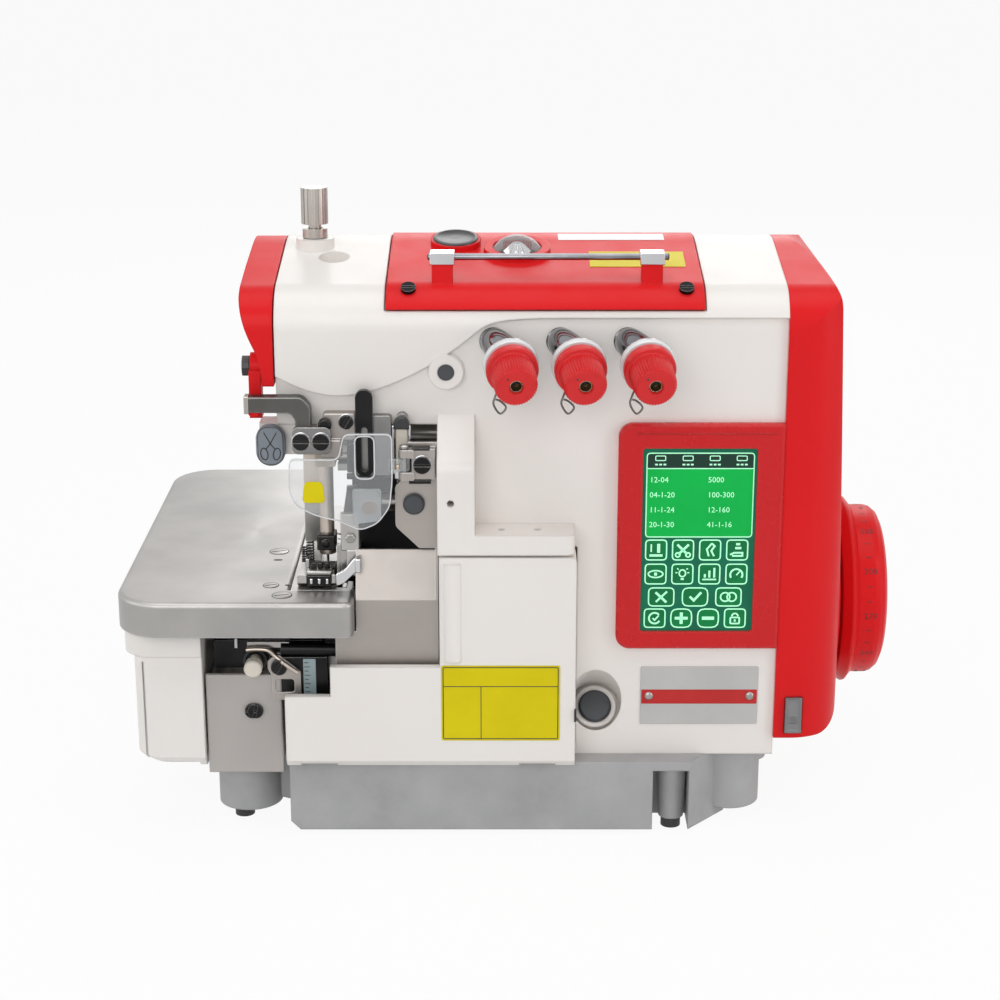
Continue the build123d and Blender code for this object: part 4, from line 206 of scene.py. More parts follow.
def make_brushed_lines():
    """Fine parallel scratches; Stretch squeezes the pattern along each axis."""
    group, taken, given = effect(
        "brushed_lines",
        [
            ("Stretch", "NodeSocketVector", (1.0, 0.02, 1.0)),
            ("Fineness", "NodeSocketFloat", 2500.0),
            ("Gloss Low", "NodeSocketFloat", 0.25),
            ("Gloss High", "NodeSocketFloat", 0.4),
        ],
        [("Lines", "NodeSocketFloat"), ("Roughness", "NodeSocketFloat"), ("Patches", "NodeSocketFloat")],
    )
    place = add_node(group, "ShaderNodeTexCoord").outputs["Object"]
    squeeze = add_node(group, "ShaderNodeVectorMath", operation="MULTIPLY")
    wire(group, (place, squeeze.inputs[0]), (taken.outputs["Stretch"], squeeze.inputs[1]))
    lines = add_noise(group, taken.outputs["Fineness"], 3.0, 0.6, squeeze.outputs["Vector"])
    patches = remap(group, add_noise(group, 30.0, 3.0, 0.55), 0.3, 0.7)
    feed(
        group, given,
        Roughness=remap(group, weigh(group, lines, 0.6, patches, 0.4), 0.0, 1.0,
                        taken.outputs["Gloss Low"], taken.outputs["Gloss High"]),
        Lines=lines,
        Patches=patches,
    )
    return group


def make_cast_grain():
    """The pebbled skin that a sand mould or a moulding tool leaves."""
    group, taken, given = effect(
        "cast_grain",
        [("Scale", "NodeSocketFloat", 700.0)],
        [("Grain", "NodeSocketFloat"), ("Tone", "NodeSocketFloat")],
    )
    fine = add_noise(group, taken.outputs["Scale"], 4.0, 0.65)
    coarse = add_noise(group, 140.0, 3.0, 0.5)
    feed(
        group, given,
        Grain=weigh(group, fine, 0.7, coarse, 0.3),
        Tone=remap(group, add_noise(group, 35.0, 5.0, 0.6), 0.3, 0.7),
    )
    return group


def make_settled_dust():
    """A thin film of lint and oil haze on faces that look up."""
    group, taken, given = effect(
        "settled_dust",
        [("Amount", "NodeSocketFloat", 0.2)],
        [("Film", "NodeSocketFloat")],
    )
    geometry = add_node(group, "ShaderNodeNewGeometry")
    split = add_node(group, "ShaderNodeSeparateXYZ")
    feed(group, split, Vector=geometry.outputs["Normal"])
    upward = remap(group, split.outputs["Z"], 0.5, 1.0)
    cloud = remap(group, add_noise(group, 45.0, 5.0, 0.65), 0.42, 0.75)
    film = add_math(group, "MULTIPLY", upward, cloud)
    feed(group, given, Film=add_math(group, "MULTIPLY", film, taken.outputs["Amount"]))
    return group


rounded_edges = make_rounded_edges()
enamel_skin = make_enamel_skin()
brushed_lines = make_brushed_lines()
cast_grain = make_cast_grain()
settled_dust = make_settled_dust()


# === finishes ========================================================================

class Finish:
    """One material: its tree, its Principled shader, and the shared effects placed in it."""

    def __init__(self, name, **plain):
        self.material = bpy.data.materials.new(name)
        self.material.use_nodes = True
        self.tree = self.material.node_tree
        self.shader = self.tree.nodes["Principled BSDF"]
        self.fill(self.shader, plain)

    def fill(self, made, values):
        for label, value in values.items():
            socket = made.inputs[label.replace("_", " ")]
            if isinstance(value, tuple) and socket.type == "RGBA":
                value = (*value, 1.0)
            socket.default_value = value

    def place(self, group, **values):
        made = add_node(self.tree, "ShaderNodeGroup", node_tree=group)
        self.fill(made, values)
        return made

    def drive(self, **sockets):
        feed(self.tree, self.shader, **sockets)

    def relief(self, height, strength, distance, normal):
        bump = add_node(self.tree, "ShaderNodeBump")
        feed(self.tree, bump, Strength=strength, Distance=distance, Height=height, Normal=normal)
        self.drive(Normal=bump.outputs["Normal"])


def enamel(name, colour, shade, worn, gloss, coat, peel, edge=0.0012, dust=0.12, shine=0.45):
    """Sprayed paint, thinned to the worn colour on its edges."""
    finish = Finish(name, Coat_Weight=coat, Coat_Roughness=0.12, Specular_IOR_Level=shine)
    skin = finish.place(enamel_skin, Colour=colour, Shade=shade, Gloss_Low=gloss[0], Gloss_High=gloss[1])
    corner = finish.place(rounded_edges, Radius=edge)
    film = finish.place(settled_dust, Amount=dust)
    worn_edge = add_math(finish.tree, "MULTIPLY", corner.outputs["Edge"], 0.35)
    paint = mix_colour(finish.tree, worn_edge, skin.outputs["Colour"], worn)
    finish.drive(Base_Color=mix_colour(finish.tree, film.outputs["Film"], paint, LINT),
                 Roughness=skin.outputs["Roughness"])
    finish.relief(skin.outputs["Peel"], peel, 0.0002, corner.outputs["Normal"])
    return finish.material


def metal(name, colour, patch_colour, gloss, stretch, fineness=2500.0, lines=0.15,
          edge=0.0005, bright=(0.80, 0.80, 0.79), anisotropic=0.0):
    """Bare or plated metal with tool lines; its edges are lightened, partly as rubbed wear and partly as a
    painted highlight.
    """
    finish = Finish(name, Metallic=1.0, Anisotropic=anisotropic)
    brush = finish.place(brushed_lines, Stretch=stretch, Fineness=fineness,
                         Gloss_Low=gloss[0], Gloss_High=gloss[1])
    corner = finish.place(rounded_edges, Radius=edge)
    body = mix_colour(finish.tree, brush.outputs["Patches"], colour, patch_colour)
    # Lightened edges: partly rubbed wear, partly a painted highlight along them.
    finish.drive(Base_Color=mix_colour(finish.tree, corner.outputs["Edge"], body, bright),
                 Roughness=brush.outputs["Roughness"])
    finish.relief(brush.outputs["Lines"], lines, 0.00005, corner.outputs["Normal"])
    return finish.material


def moulded(name, colour, shade, gloss, grain=0.25, scale=900.0, coat=0.0, edge=0.0004,
            metallic=0.0, dust=0.1, shine=0.5):
    """Plastic, rubber, foil or rough casting with a fine grain."""
    finish = Finish(name, Coat_Weight=coat, Metallic=metallic, Specular_IOR_Level=shine)
    skin = finish.place(cast_grain, Scale=scale)
    corner = finish.place(rounded_edges, Radius=edge)
    film = finish.place(settled_dust, Amount=dust)
    body = mix_colour(finish.tree, skin.outputs["Tone"], colour, shade)
    finish.drive(Base_Color=mix_colour(finish.tree, film.outputs["Film"], body, LINT),
                 Roughness=remap(finish.tree, skin.outputs["Tone"], 0.0, 1.0, *gloss))
    finish.relief(skin.outputs["Grain"], grain, 0.0002, corner.outputs["Normal"])
    return finish.material


def clear(name, tint, roughness, body=0.13):
    """Clear plastic or glass: see-through face on, and its pale tint made more opaque at a slant and along
    its edges, which paints the sheen seen there.
    """
    finish = Finish(name, Base_Color=tint, Metallic=0.0, Transmission_Weight=0.0, IOR=PLASTIC_IOR)
    smear = finish.place(cast_grain, Scale=160.0)
    corner = finish.place(rounded_edges, Radius=0.0006)
    finish.drive(Roughness=remap(finish.tree, smear.outputs["Tone"], 0.0, 1.0, *roughness))
    finish.relief(smear.outputs["Grain"], 0.04, 0.0001, corner.outputs["Normal"])
    # Pale tint made opaque at a slant and along edges: painted sheen on the clear surface.
    fresnel = add_node(finish.tree, "ShaderNodeFresnel")
    fresnel.inputs["IOR"].default_value = PLASTIC_IOR
    slant = remap(finish.tree, fresnel.outputs[0], 0.02, 0.7, body, 0.85)
    rim = add_math(finish.tree, "ADD", slant,
                   add_math(finish.tree, "MULTIPLY", corner.outputs["Edge"], 0.45))
    finish.drive(Alpha=add_math(finish.tree, "MINIMUM", rim, 1.0))
    return finish.material


def lit(name, colour, shade, glow):
    """A lit part of the touch screen, seen through its glass."""
    finish = Finish(name, Specular_IOR_Level=0.15, Emission_Strength=glow)
    skin = finish.place(cast_grain, Scale=300.0)
    body = mix_colour(finish.tree, skin.outputs["Tone"], colour, shade)
    finish.drive(Base_Color=body, Emission_Color=body,
                 Roughness=remap(finish.tree, skin.outputs["Tone"], 0.0, 1.0, 0.14, 0.22))
    return finish.material


# Each finish starts with its colour and the colour it drifts to in patches.
white_enamel = enamel(
    "white_enamel", (0.85, 0.815, 0.775), (0.83, 0.79, 0.75), worn=(0.74, 0.70, 0.66),
    gloss=(0.34, 0.48), coat=0.12, peel=0.12
)
# The side plate's white paint, greyed down as painted shade for a plate that sits back in shade.
white_enamel_painted_shade = enamel(
    "white_enamel_painted_shade", (0.46, 0.43, 0.405), (0.43, 0.40, 0.38), worn=(0.60, 0.57, 0.54),
    gloss=(0.34, 0.46), coat=0.10, peel=0.12
)
red_enamel = enamel(
    "red_enamel", (0.74, 0.012, 0.015), (0.69, 0.010, 0.013), worn=(0.80, 0.06, 0.05),
    gloss=(0.32, 0.44), coat=0.03, peel=0.06, dust=0.02, shine=0.12
)
bezel_red = enamel(
    "bezel_red", (0.62, 0.012, 0.016), (0.58, 0.010, 0.013), worn=(0.80, 0.10, 0.09),
    gloss=(0.22, 0.32), coat=0.10, peel=0.03, edge=0.002, dust=0.02, shine=0.2
)
pan_casting = moulded(
    "pan_casting", (0.42, 0.42, 0.42), (0.35, 0.35, 0.355), gloss=(0.48, 0.66), grain=0.55,
    scale=850.0, edge=0.0012, metallic=0.25
)
# The cloth plate's wider lightened rim is partly polish and partly a painted highlight along its edge.
plate_brushed = metal(
    "plate_brushed", (0.42, 0.405, 0.39), (0.36, 0.35, 0.34), gloss=(0.36, 0.48),
    stretch=(0.02, 1.0, 1.0), fineness=3200.0, lines=0.22, edge=0.0010, anisotropic=0.4
)
plate_ground = metal(
    "plate_ground", (0.46, 0.445, 0.43), (0.40, 0.385, 0.37), gloss=(0.32, 0.44),
    stretch=(0.05, 1.0, 1.0), fineness=2600.0, lines=0.12
)
guard_stainless = metal(
    "guard_stainless", (0.40, 0.365, 0.34), (0.36, 0.33, 0.31), gloss=(0.42, 0.54),
    stretch=(0.02, 1.0, 1.0), fineness=3000.0, lines=0.15, edge=0.0006, anisotropic=0.2
)
machined_steel = metal(
    "machined_steel", (0.40, 0.385, 0.37), (0.26, 0.25, 0.24), gloss=(0.22, 0.40),
    stretch=(1.0, 1.0, 0.06), fineness=2200.0, lines=0.12
)
warm_steel = metal(
    "warm_steel", (0.56, 0.49, 0.43), (0.42, 0.36, 0.31), gloss=(0.26, 0.42),
    stretch=(1.0, 1.0, 0.06), fineness=2200.0, lines=0.12
)
satin_nickel = metal(
    "satin_nickel", (0.46, 0.43, 0.39), (0.34, 0.315, 0.285), gloss=(0.26, 0.38),
    stretch=(1.0, 1.0, 0.05), fineness=2200.0, lines=0.15, edge=0.0003
)
dark_lever_steel = metal(
    "dark_lever_steel", (0.13, 0.125, 0.12), (0.09, 0.086, 0.08), gloss=(0.30, 0.44),
    stretch=(0.04, 1.0, 1.0), fineness=1800.0, lines=0.2, edge=0.0006, bright=(0.5, 0.5, 0.49)
)
satin_steel = metal(
    "satin_steel", (0.27, 0.265, 0.26), (0.19, 0.186, 0.18), gloss=(0.30, 0.44),
    stretch=(0.04, 1.0, 1.0), fineness=1800.0, lines=0.2, edge=0.0006, bright=(0.6, 0.6, 0.58)
)
black_oxide = metal(
    "black_oxide", (0.030, 0.029, 0.029), (0.016, 0.016, 0.017), gloss=(0.28, 0.44),
    stretch=(1.0, 1.0, 0.2), fineness=1500.0, lines=0.15, edge=0.0004, bright=(0.30, 0.29, 0.28)
)
bright_chrome = metal(
    "bright_chrome", (0.60, 0.60, 0.61), (0.50, 0.50, 0.52), gloss=(0.04, 0.10),
    stretch=(1.0, 0.5, 1.0), fineness=600.0, lines=0.02, edge=0.0004
)
dark_chrome = metal(
    "dark_chrome", (0.30, 0.30, 0.315), (0.16, 0.16, 0.175), gloss=(0.05, 0.14),
    stretch=(1.0, 0.4, 1.0), fineness=500.0, lines=0.05, edge=0.0004
)
brass_insert = metal(
    "brass_insert", (0.60, 0.42, 0.18), (0.50, 0.34, 0.14), gloss=(0.16, 0.28),
    stretch=(1.0, 1.0, 1.0), fineness=900.0, lines=0.05, edge=0.0002
)
black_rubber = moulded(
    "black_rubber_skin", (0.022, 0.022, 0.024), (0.035, 0.034, 0.034), gloss=(0.5, 0.7)
)
black_moulding = moulded(
    "black_moulding", (0.018, 0.018, 0.020), (0.028, 0.028, 0.03), gloss=(0.3, 0.45), dust=0.05
)
ribbed_red_plastic = moulded(
    "ribbed_red_plastic", (0.70, 0.016, 0.018), (0.62, 0.012, 0.014), gloss=(0.32, 0.42),
    coat=0.08, grain=0.12, dust=0.02, shine=0.3
)
grey_button_plastic = moulded(
    "grey_button_plastic", (0.245, 0.27, 0.30), (0.20, 0.225, 0.255), gloss=(0.36, 0.5), shine=0.3
)
dark_grey_plastic = moulded(
    "dark_grey_plastic", (0.055, 0.06, 0.068), (0.04, 0.044, 0.05), gloss=(0.38, 0.5)
)
flap_grey_plastic = moulded(
    "flap_grey_plastic", (0.26, 0.26, 0.265), (0.22, 0.22, 0.225), gloss=(0.4, 0.55)
)
cream_nylon = moulded(
    "cream_nylon", (0.74, 0.69, 0.60), (0.68, 0.62, 0.53), gloss=(0.35, 0.5), grain=0.1
)
collar_white = moulded(
    "collar_white", (0.80, 0.82, 0.82), (0.70, 0.73, 0.74), gloss=(0.12, 0.25), grain=0.08,
    coat=0.4
)
plate_silver = moulded(
    "plate_silver", (0.54, 0.53, 0.52), (0.48, 0.475, 0.465), gloss=(0.30, 0.42), grain=0.06,
    metallic=0.3
)
foil_yellow = moulded(
    "foil_yellow", (0.74, 0.62, 0.004), (0.68, 0.56, 0.004), gloss=(0.36, 0.48), grain=0.08,
    dust=0.03, shine=0.15
)
foil_white = moulded(
    "foil_white", (0.80, 0.79, 0.80), (0.74, 0.73, 0.75), gloss=(0.3, 0.42), grain=0.08
)
foil_red = moulded(
    "foil_red", (0.58, 0.030, 0.028), (0.50, 0.024, 0.022), gloss=(0.32, 0.44), grain=0.08,
    shine=0.25
)
foil_blue = moulded(
    "foil_blue", (0.36, 0.45, 0.46), (0.26, 0.34, 0.36), gloss=(0.30, 0.44), grain=0.2,
    scale=260.0
)
line_black = moulded(
    "line_black", (0.02, 0.02, 0.022), (0.035, 0.035, 0.036), gloss=(0.4, 0.55), grain=0.05
)
wheel_ink = moulded(
    "wheel_ink", (0.14, 0.012, 0.014), (0.20, 0.016, 0.018), gloss=(0.4, 0.55), grain=0.05
)
screen_dark = lit("screen_dark", (0.006, 0.10, 0.052), (0.008, 0.13, 0.068), glow=0.35)
screen_strip = lit("screen_strip", (0.012, 0.035, 0.024), (0.014, 0.042, 0.030), glow=0.3)
screen_green = lit("screen_green", (0.002, 0.40, 0.062), (0.003, 0.35, 0.055), glow=0.3)
screen_key_green = lit("screen_key_green", (0.004, 0.19, 0.048), (0.006, 0.12, 0.040), glow=0.3)
screen_pale = lit("screen_pale", (0.42, 0.88, 0.58), (0.36, 0.82, 0.52), glow=0.45)
guard_clear = clear("guard_clear", (0.82, 0.85, 0.87), roughness=(0.03, 0.10))
guard_frosted = clear("guard_frosted", (0.84, 0.86, 0.87), roughness=(0.25, 0.40), body=0.55)
dome_clear = clear("dome_clear", (0.90, 0.90, 0.90), roughness=(0.01, 0.04))
stator_laminations = metal(
    "stator_laminations", (0.20, 0.17, 0.15), (0.14, 0.12, 0.11), gloss=(0.4, 0.55),
    stretch=(0.02, 0.02, 1.0), fineness=4000.0, lines=0.3
)

NODE_FINISH = {
    white_enamel: ["machine_body", "front_cover", "left_side_housing"],
    # side plate: white paint greyed as painted shade
    white_enamel_painted_shade: ["side_plate"],
    red_enamel: ["left_end_cap", "top_cover", "motor_cover", "handwheel"],
    bezel_red: ["panel_bezel"],
    screen_dark: ["panel_screen"],
    pan_casting: ["base_pan"],
    plate_brushed: ["cloth_plate"],
    plate_ground: ["needle_plate", "plate_insert"],
    guard_stainless: ["looper_guard", "eye_guard_bracket"],
    machined_steel: ["presser_foot", "needle", "needle_drive_shaft", "feed_dogs",
                     "upper_knife_arm", "upper_knife", "lower_knife", "lower_looper", "upper_looper",
                     "upper_looper_guide", "feed_lever", "main_shaft", "shaft_bearings", "cover_hinge_rod",
                     "motor_rotor"],
    warm_steel: ["presser_arm", "needle_bar"],
    satin_nickel: ["pressure_screw", "pressure_lock_nut"],
    satin_steel: ["thread_guides"],
    dark_lever_steel: ["release_lever"],
    black_oxide: ["take_up_lever", "slotted_screws", "adjuster_block", "plate_support"],
    dark_chrome: ["thread_rail"],
    bright_chrome: ["tension_discs", "tension_posts"],
    black_rubber: ["rubber_feet", "top_cover_gasket"],
    dark_grey_plastic: ["rubber_plugs"],
    black_moulding: ["oil_filler_cap", "cable_gland", "side_knob"],
    ribbed_red_plastic: ["tension_knob_1", "tension_knob_2", "tension_knob_3"],
    grey_button_plastic: ["trim_button"],
    cream_nylon: ["stitch_button"],
    flap_grey_plastic: ["port_cover"],
    guard_clear: ["eye_guard"],
    dome_clear: ["sight_glass"],
    stator_laminations: ["motor_stator"],
}
for material, names in NODE_FINISH.items():
    for name in names:
        for slot in nodes[name].material_slots:
            slot.material = material


# === drawing pieces in millimetres ===================================================

def edges(name):
    """Lowest and highest corner of a node, in millimetres."""
    low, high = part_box(name)
    return low / MM, high / MM


def pivot(name):
    """A joint's anchor in millimetres and its axis."""
    return Vector(joints[name]["pos_m"]) / MM, Vector(joints[name]["axis"]).normalized()


def seat(place, out=(0, -1, 0), right=(1, 0, 0)):
    """Where a shape is drawn: its Z points out of the surface, its X to the right."""
    out = Vector(out).normalized()
    right = (Vector(right) - Vector(right).dot(out) * out).normalized()
    return Matrix.Translation(place) @ Matrix((right, out.cross(right), out)).transposed().to_4x4()


def along_face(face, x, y):
    """The same seat, moved across its own face."""
    return face @ Matrix.Translation((x, y, 0))


def put(shape, place, points):
    return [shape.verts.new(place @ Vector(point)) for point in points]


def join_rings(shape, rings, capped=True):
    for first, second in zip(rings, rings[1:]):
        for i in range(len(first)):
            j = (i + 1) % len(first)
            shape.faces.new((first[i], first[j], second[j], second[i]))
    if capped:
        shape.faces.new(list(reversed(rings[0])))
        shape.faces.new(rings[-1])


def oval(width, height, x=0.0, y=0.0, steps=24):
    turns = [math.tau * i / steps for i in range(steps)]
    return [(x + width / 2 * math.cos(turn), y + height / 2 * math.sin(turn)) for turn in turns]


def disc(radius, x=0.0, y=0.0, steps=28):
    return oval(2 * radius, 2 * radius, x, y, steps)


def arc(radius, start, end, x=0.0, y=0.0, steps=12):
    turns = [math.radians(start + (end - start) * i / steps) for i in range(steps + 1)]
    return [(x + radius * math.cos(turn), y + radius * math.sin(turn)) for turn in turns]


def fluted(radius, bite, teeth):
    """A closed outline with pointed teeth."""
    reach = [(radius - bite * (i % 2), math.pi * i / teeth) for i in range(2 * teeth)]
    return [(length * math.cos(turn), length * math.sin(turn)) for length, turn in reach]


def softened(points, radius, steps=4):
    """A closed outline with its corners rounded."""
    made, corners = [], [Vector(p) for p in points]
    for i, corner in enumerate(corners):
        before, after = corners[i - 1] - corner, corners[(i + 1) % len(corners)] - corner
        reach = min(radius, before.length * 0.45, after.length * 0.45)
        start, end = corner + before.normalized() * reach, corner + after.normalized() * reach
        for k in range(steps + 1):
            t = k / steps
            made.append(tuple(start * (1 - t) ** 2 + corner * 2 * t * (1 - t) + end * t ** 2))
    return made


def rectangle(width, height, radius, x=0.0, y=0.0, steps=4):
    """A rounded rectangle whose lower left corner is at x, y."""
    return softened([(x, y), (x + width, y), (x + width, y + height), (x, y + height)], radius, steps)


def offset(path, distance, closed=True):
    """The path moved sideways, to its left for a distance above zero."""
    path, made = [Vector(p) for p in path], []
    for i, point in enumerate(path):
        first = closed or i > 0
        last = closed or i < len(path) - 1
        a = (point - path[i - 1]).normalized() if first else (path[1] - point).normalized()
        b = (path[(i + 1) % len(path)] - point).normalized() if last else a
        side = Vector((-(a + b).y, (a + b).x)).normalized()
        made.append(tuple(point + side * distance / max(side.dot(Vector((-a.y, a.x))), 0.4)))
    return made


def level(outline, height):
    return [(x, y, height) for x, y in outline]


def slab(shape, place, outline, low, high, ease=0.0):
    """A flat plate, its outline anticlockwise; ease chamfers its front edge."""
    rings = [put(shape, place, level(outline, low)), put(shape, place, level(outline, high - ease))]
    if ease:
        rings.append(put(shape, place, level(offset(outline, ease), high)))
    join_rings(shape, rings)


def pierced(shape, place, outline, hole, low, high):
    """A flat plate with an opening through it."""
    walls = []
    for path in (outline, hole):
        walls.append([put(shape, place, level(path, height)) for height in (low, high)])
        join_rings(shape, walls[-1], capped=False)
    for rings in zip(*walls):
        rims = [shape.edges.get((ring[i - 1], ring[i])) for ring in rings for i in range(len(ring))]
        bmesh.ops.triangle_fill(shape, use_beauty=True, edges=rims)


def stroke(shape, place, path, width, low, high, closed=False):
    """A raised line along a path."""
    left, right = offset(path, width / 2, closed), offset(path, -width / 2, closed)
    rings = [put(shape, place, [(*a, low), (*a, high), (*b, high), (*b, low)]) for a, b in zip(left, right)]
    join_rings(shape, rings + rings[:1] if closed else rings, capped=not closed)


def border(shape, place, path, width, low, high):
    """A raised line round a closed path."""
    stroke(shape, place, path, width, low, high, closed=True)


def lathe(shape, place, profile, steps=40, capped=True):
    """A turned shape; the profile gives radius and height pairs."""
    rings = [put(shape, place, level(disc(radius, steps=steps), height)) for radius, height in profile]
    join_rings(shape, rings if capped else rings + rings[:1], capped=capped)


def collar(shape, place, profile, steps=40):
    """A turned ring, open through its middle."""
    lathe(shape, place, profile, steps, capped=False)


def flowing(points, steps=6):
    """A smooth path through the points."""
    path, made = [Vector(p) for p in points], []
    for i in range(len(path) - 1):
        a, b, c, d = path[max(i - 1, 0)], path[i], path[i + 1], path[min(i + 2, len(path) - 1)]
        for k in range(steps):
            t = k / steps
            made.append(0.5 * (2 * b + (c - a) * t + (2 * a - 5 * b + 4 * c - d) * t ** 2
                               + (3 * b - a - 3 * c + d) * t ** 3))
    return made + [path[-1]]


def pipe(shape, place, path, radius, sides=10):
    """A round bar along a path; radius is one size, or one for each point."""
    path = [Vector(p) for p in path]
    sizes = radius if isinstance(radius, list) else [radius] * len(path)
    rings, side = [], None
    for i, (point, size) in enumerate(zip(path, sizes)):
        ahead, behind = path[min(i + 1, len(path) - 1)], path[max(i - 1, 0)]
        along = (ahead - behind).normalized()
        side = along.orthogonal() if side is None else side
        side = (side - side.dot(along) * along).normalized()
        other = along.cross(side)
        rings.append(put(shape, place, [point + side * x + other * y for x, y in disc(size, steps=sides)]))
    join_rings(shape, rings)


def bar(shape, low, high, ease=0.4):
    """A box between two corners of the machine's own space, with eased edges."""
    low, high = Vector(low), Vector(high)
    size, cut = high - low, ease * 0.9
    place = seat((low.x, high.y, low.z))
    outline = rectangle(size.x, size.z, ease, steps=2)
    inner = offset(outline, cut)
    join_rings(shape, [put(shape, place, level(path, height)) for path, height in (
        (inner, 0), (outline, cut), (outline, size.y - cut), (inner, size.y))])


def figures(shape, place, text, height, depth, x, y, align="LEFT"):
    """Plain numbers and dashes, raised a little."""
    letters = bpy.data.curves.new("figures", "FONT")
    letters.body, letters.size, letters.extrude = text, height, depth / 2
    letters.align_x, letters.align_y, letters.resolution_u = align, "CENTER", 2
    holder = bpy.data.objects.new("figures", letters)
    mesh = bpy.data.meshes.new_from_object(holder)
    mesh.transform(place @ Matrix.Translation((x, y, depth / 2)))
    shape.from_mesh(mesh)
    bpy.data.objects.remove(holder)
    bpy.data.curves.remove(letters)
    bpy.data.meshes.remove(mesh)


def slotted_head(shape, place, radius, height, turn=0.0):
    """A cheese head with its slot, drawn as two half moons on a disc."""
    lathe(shape, place, [(radius, 0), (radius, height * 0.55)], 32)
    for half in (0.0, 180.0):
        moon = arc(radius, turn + half + 9.0, turn + half + 171.0, steps=16)
        slab(shape, place, moon, height * 0.5, height, 0.25)


def settle(name, shape, finish, body, sharp=38.0):
    """Makes the drawn shape a piece of the machine that rides on a body."""
    bmesh.ops.recalc_face_normals(shape, faces=shape.faces[:])
    mesh = bpy.data.meshes.new(name)
    shape.to_mesh(mesh)
    shape.free()
    mesh.transform(Matrix.Scale(MM, 4))
    mesh.materials.append(finish)
    mesh.shade_smooth()
    mesh.set_sharp_from_angle(angle=math.radians(sharp))
    piece = bpy.data.objects.new(name, mesh)
    bpy.context.scene.collection.objects.link(piece)
    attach(piece, body)
    return piece


def make(name, finish, body, slot, *parts, sharp=38.0):
    """Draws a piece from parts, each a drawing function and what it draws with, and settles it."""
    shape = bmesh.new()
    for draw, *given in parts:
        draw(shape, *given)
    return settle(name, shape, finish, body, sharp)


# === control panel ===================================================================

FIELD_FILM, LINE_FILM = 0.05, 0.10      # how far the lit fields and lines stand up
KEY_COLUMNS = (7.2, 20.3, 33.5, 46.7)
KEYS = [(x, y, 10.2, 10.2, 1.8) for y in (42.0, 29.6) for x in KEY_COLUMNS]
KEYS += [(x, 17.7, 12.4, 9.4, corner) for x, corner in ((10.2, 2.2), (26.8, 3.0), (43.2, 2.2))]
KEYS += [(x, 6.6, 10.2, 9.6, corner) for x, corner in zip(KEY_COLUMNS, (1.8, 3.4, 3.4, 1.8))]

# The sign on each key: which key, how thick a line, and its points from the key's middle.
OPEN_SIGNS = (
    (0, 0.75, (-2.4, 3.0), (-2.4, -1.0)),
    (0, 1.5, (1.2, 3.2), (1.2, -1.4)),
    (0, 1.2, (-3.2, -2.8), (3.2, -2.8)),
    (1, 1.2, (-2.8, 2.8), (2.2, -2.2)),
    (1, 1.2, (2.8, 2.8), (-2.2, -2.2)),
    (2, 0.9, (0.8, 3.4), (-1.6, 0.4), (-0.6, -3.2)),
    (2, 0.9, (0.8, 3.4), (2.2, 2.0), (0.6, -0.4), (2.0, -3.2)),
    (3, 1.2, (-0.6, 3.0), (1.4, 3.0)),
    (3, 1.2, (-1.0, 1.0), (2.0, 1.0)),
    (3, 0.9, (-3.4, -2.4), (-1.4, -1.4), (2.6, -1.4), (2.6, -3.0), (-2.4, -3.0)),
    (4, 1.6, (-0.7, 0.0), (0.7, 0.0)),
    (5, 0.9, (-0.8, -2.6), (0.8, -2.6)),
    (5, 0.6, (-3.4, 0.8), (-2.4, 0.6)),
    (5, 0.6, (3.4, 0.8), (2.4, 0.6)),
    (5, 0.6, (-2.6, 3.0), (-1.9, 2.3)),
    (5, 0.6, (2.6, 3.0), (1.9, 2.3)),
    (6, 1.0, (-2.2, -1.8), (-2.2, 0.0)),
    (6, 1.0, (0.0, -1.8), (0.0, 1.8)),
    (6, 1.0, (2.4, -1.8), (2.4, 3.2)),
    (6, 0.8, (-3.4, -2.8), (3.4, -2.8)),
    (7, 0.9, *arc(3.0, -30, 210, y=-0.4, steps=14)),
    (7, 0.7, (0.0, -0.6), (1.6, 1.4)),
    (8, 1.2, (-2.8, 2.4), (2.6, -2.8)),
    (8, 1.0, (2.8, 2.8), (-2.6, -2.6)),
    (9, 1.2, (-2.6, 0.2), (-0.6, -1.8), (3.0, 2.4)),
    (11, 0.9, *arc(2.8, 40, 330, steps=14)),
    (11, 0.8, (-1.0, 0.0), (0.0, -1.0), (2.0, 1.4)),
    (12, 1.5, (-3.2, 0.0), (3.2, 0.0)),
    (12, 1.5, (0.0, -3.0), (0.0, 3.0)),
    (13, 1.7, (-3.0, 0.0), (3.0, 0.0)),
    (14, 0.8, *arc(1.5, 0, 180, y=1.0, steps=8)),
    (14, 0.9, (0.0, -0.6), (0.0, -1.8)),
)
CLOSED_SIGNS = (
    (1, 0.75, *oval(2.2, 2.2, 2.5, -2.5, 10)),
    (1, 0.75, *oval(2.2, 2.2, -2.5, -2.5, 10)),
    (4, 0.75, *oval(7.2, 3.6, steps=18)),
    (5, 0.75, *oval(3.2, 3.6, 0.0, 0.4, 12)),
    (10, 0.75, *oval(4.6, 4.6, -1.6, 0.0, 12)),
    (10, 0.75, *oval(4.6, 4.6, 1.6, 0.0, 12)),
    (14, 0.8, *rectangle(4.4, 3.2, 0.5, -2.2, -2.8, 2)),
)
NUMBER_ROWS = (
    (77.6, "12-04", "5000"),
    (70.0, "04-1-20", "100-300"),
    (62.4, "11-1-24", "12-160"),
    (54.9, "20-1-30", "41-1-16"),
)


def key_outline(key, steps=4):
    x, y, width, height, corner = key
    return rectangle(width, height, corner, x - width / 2, y - height / 2, steps)


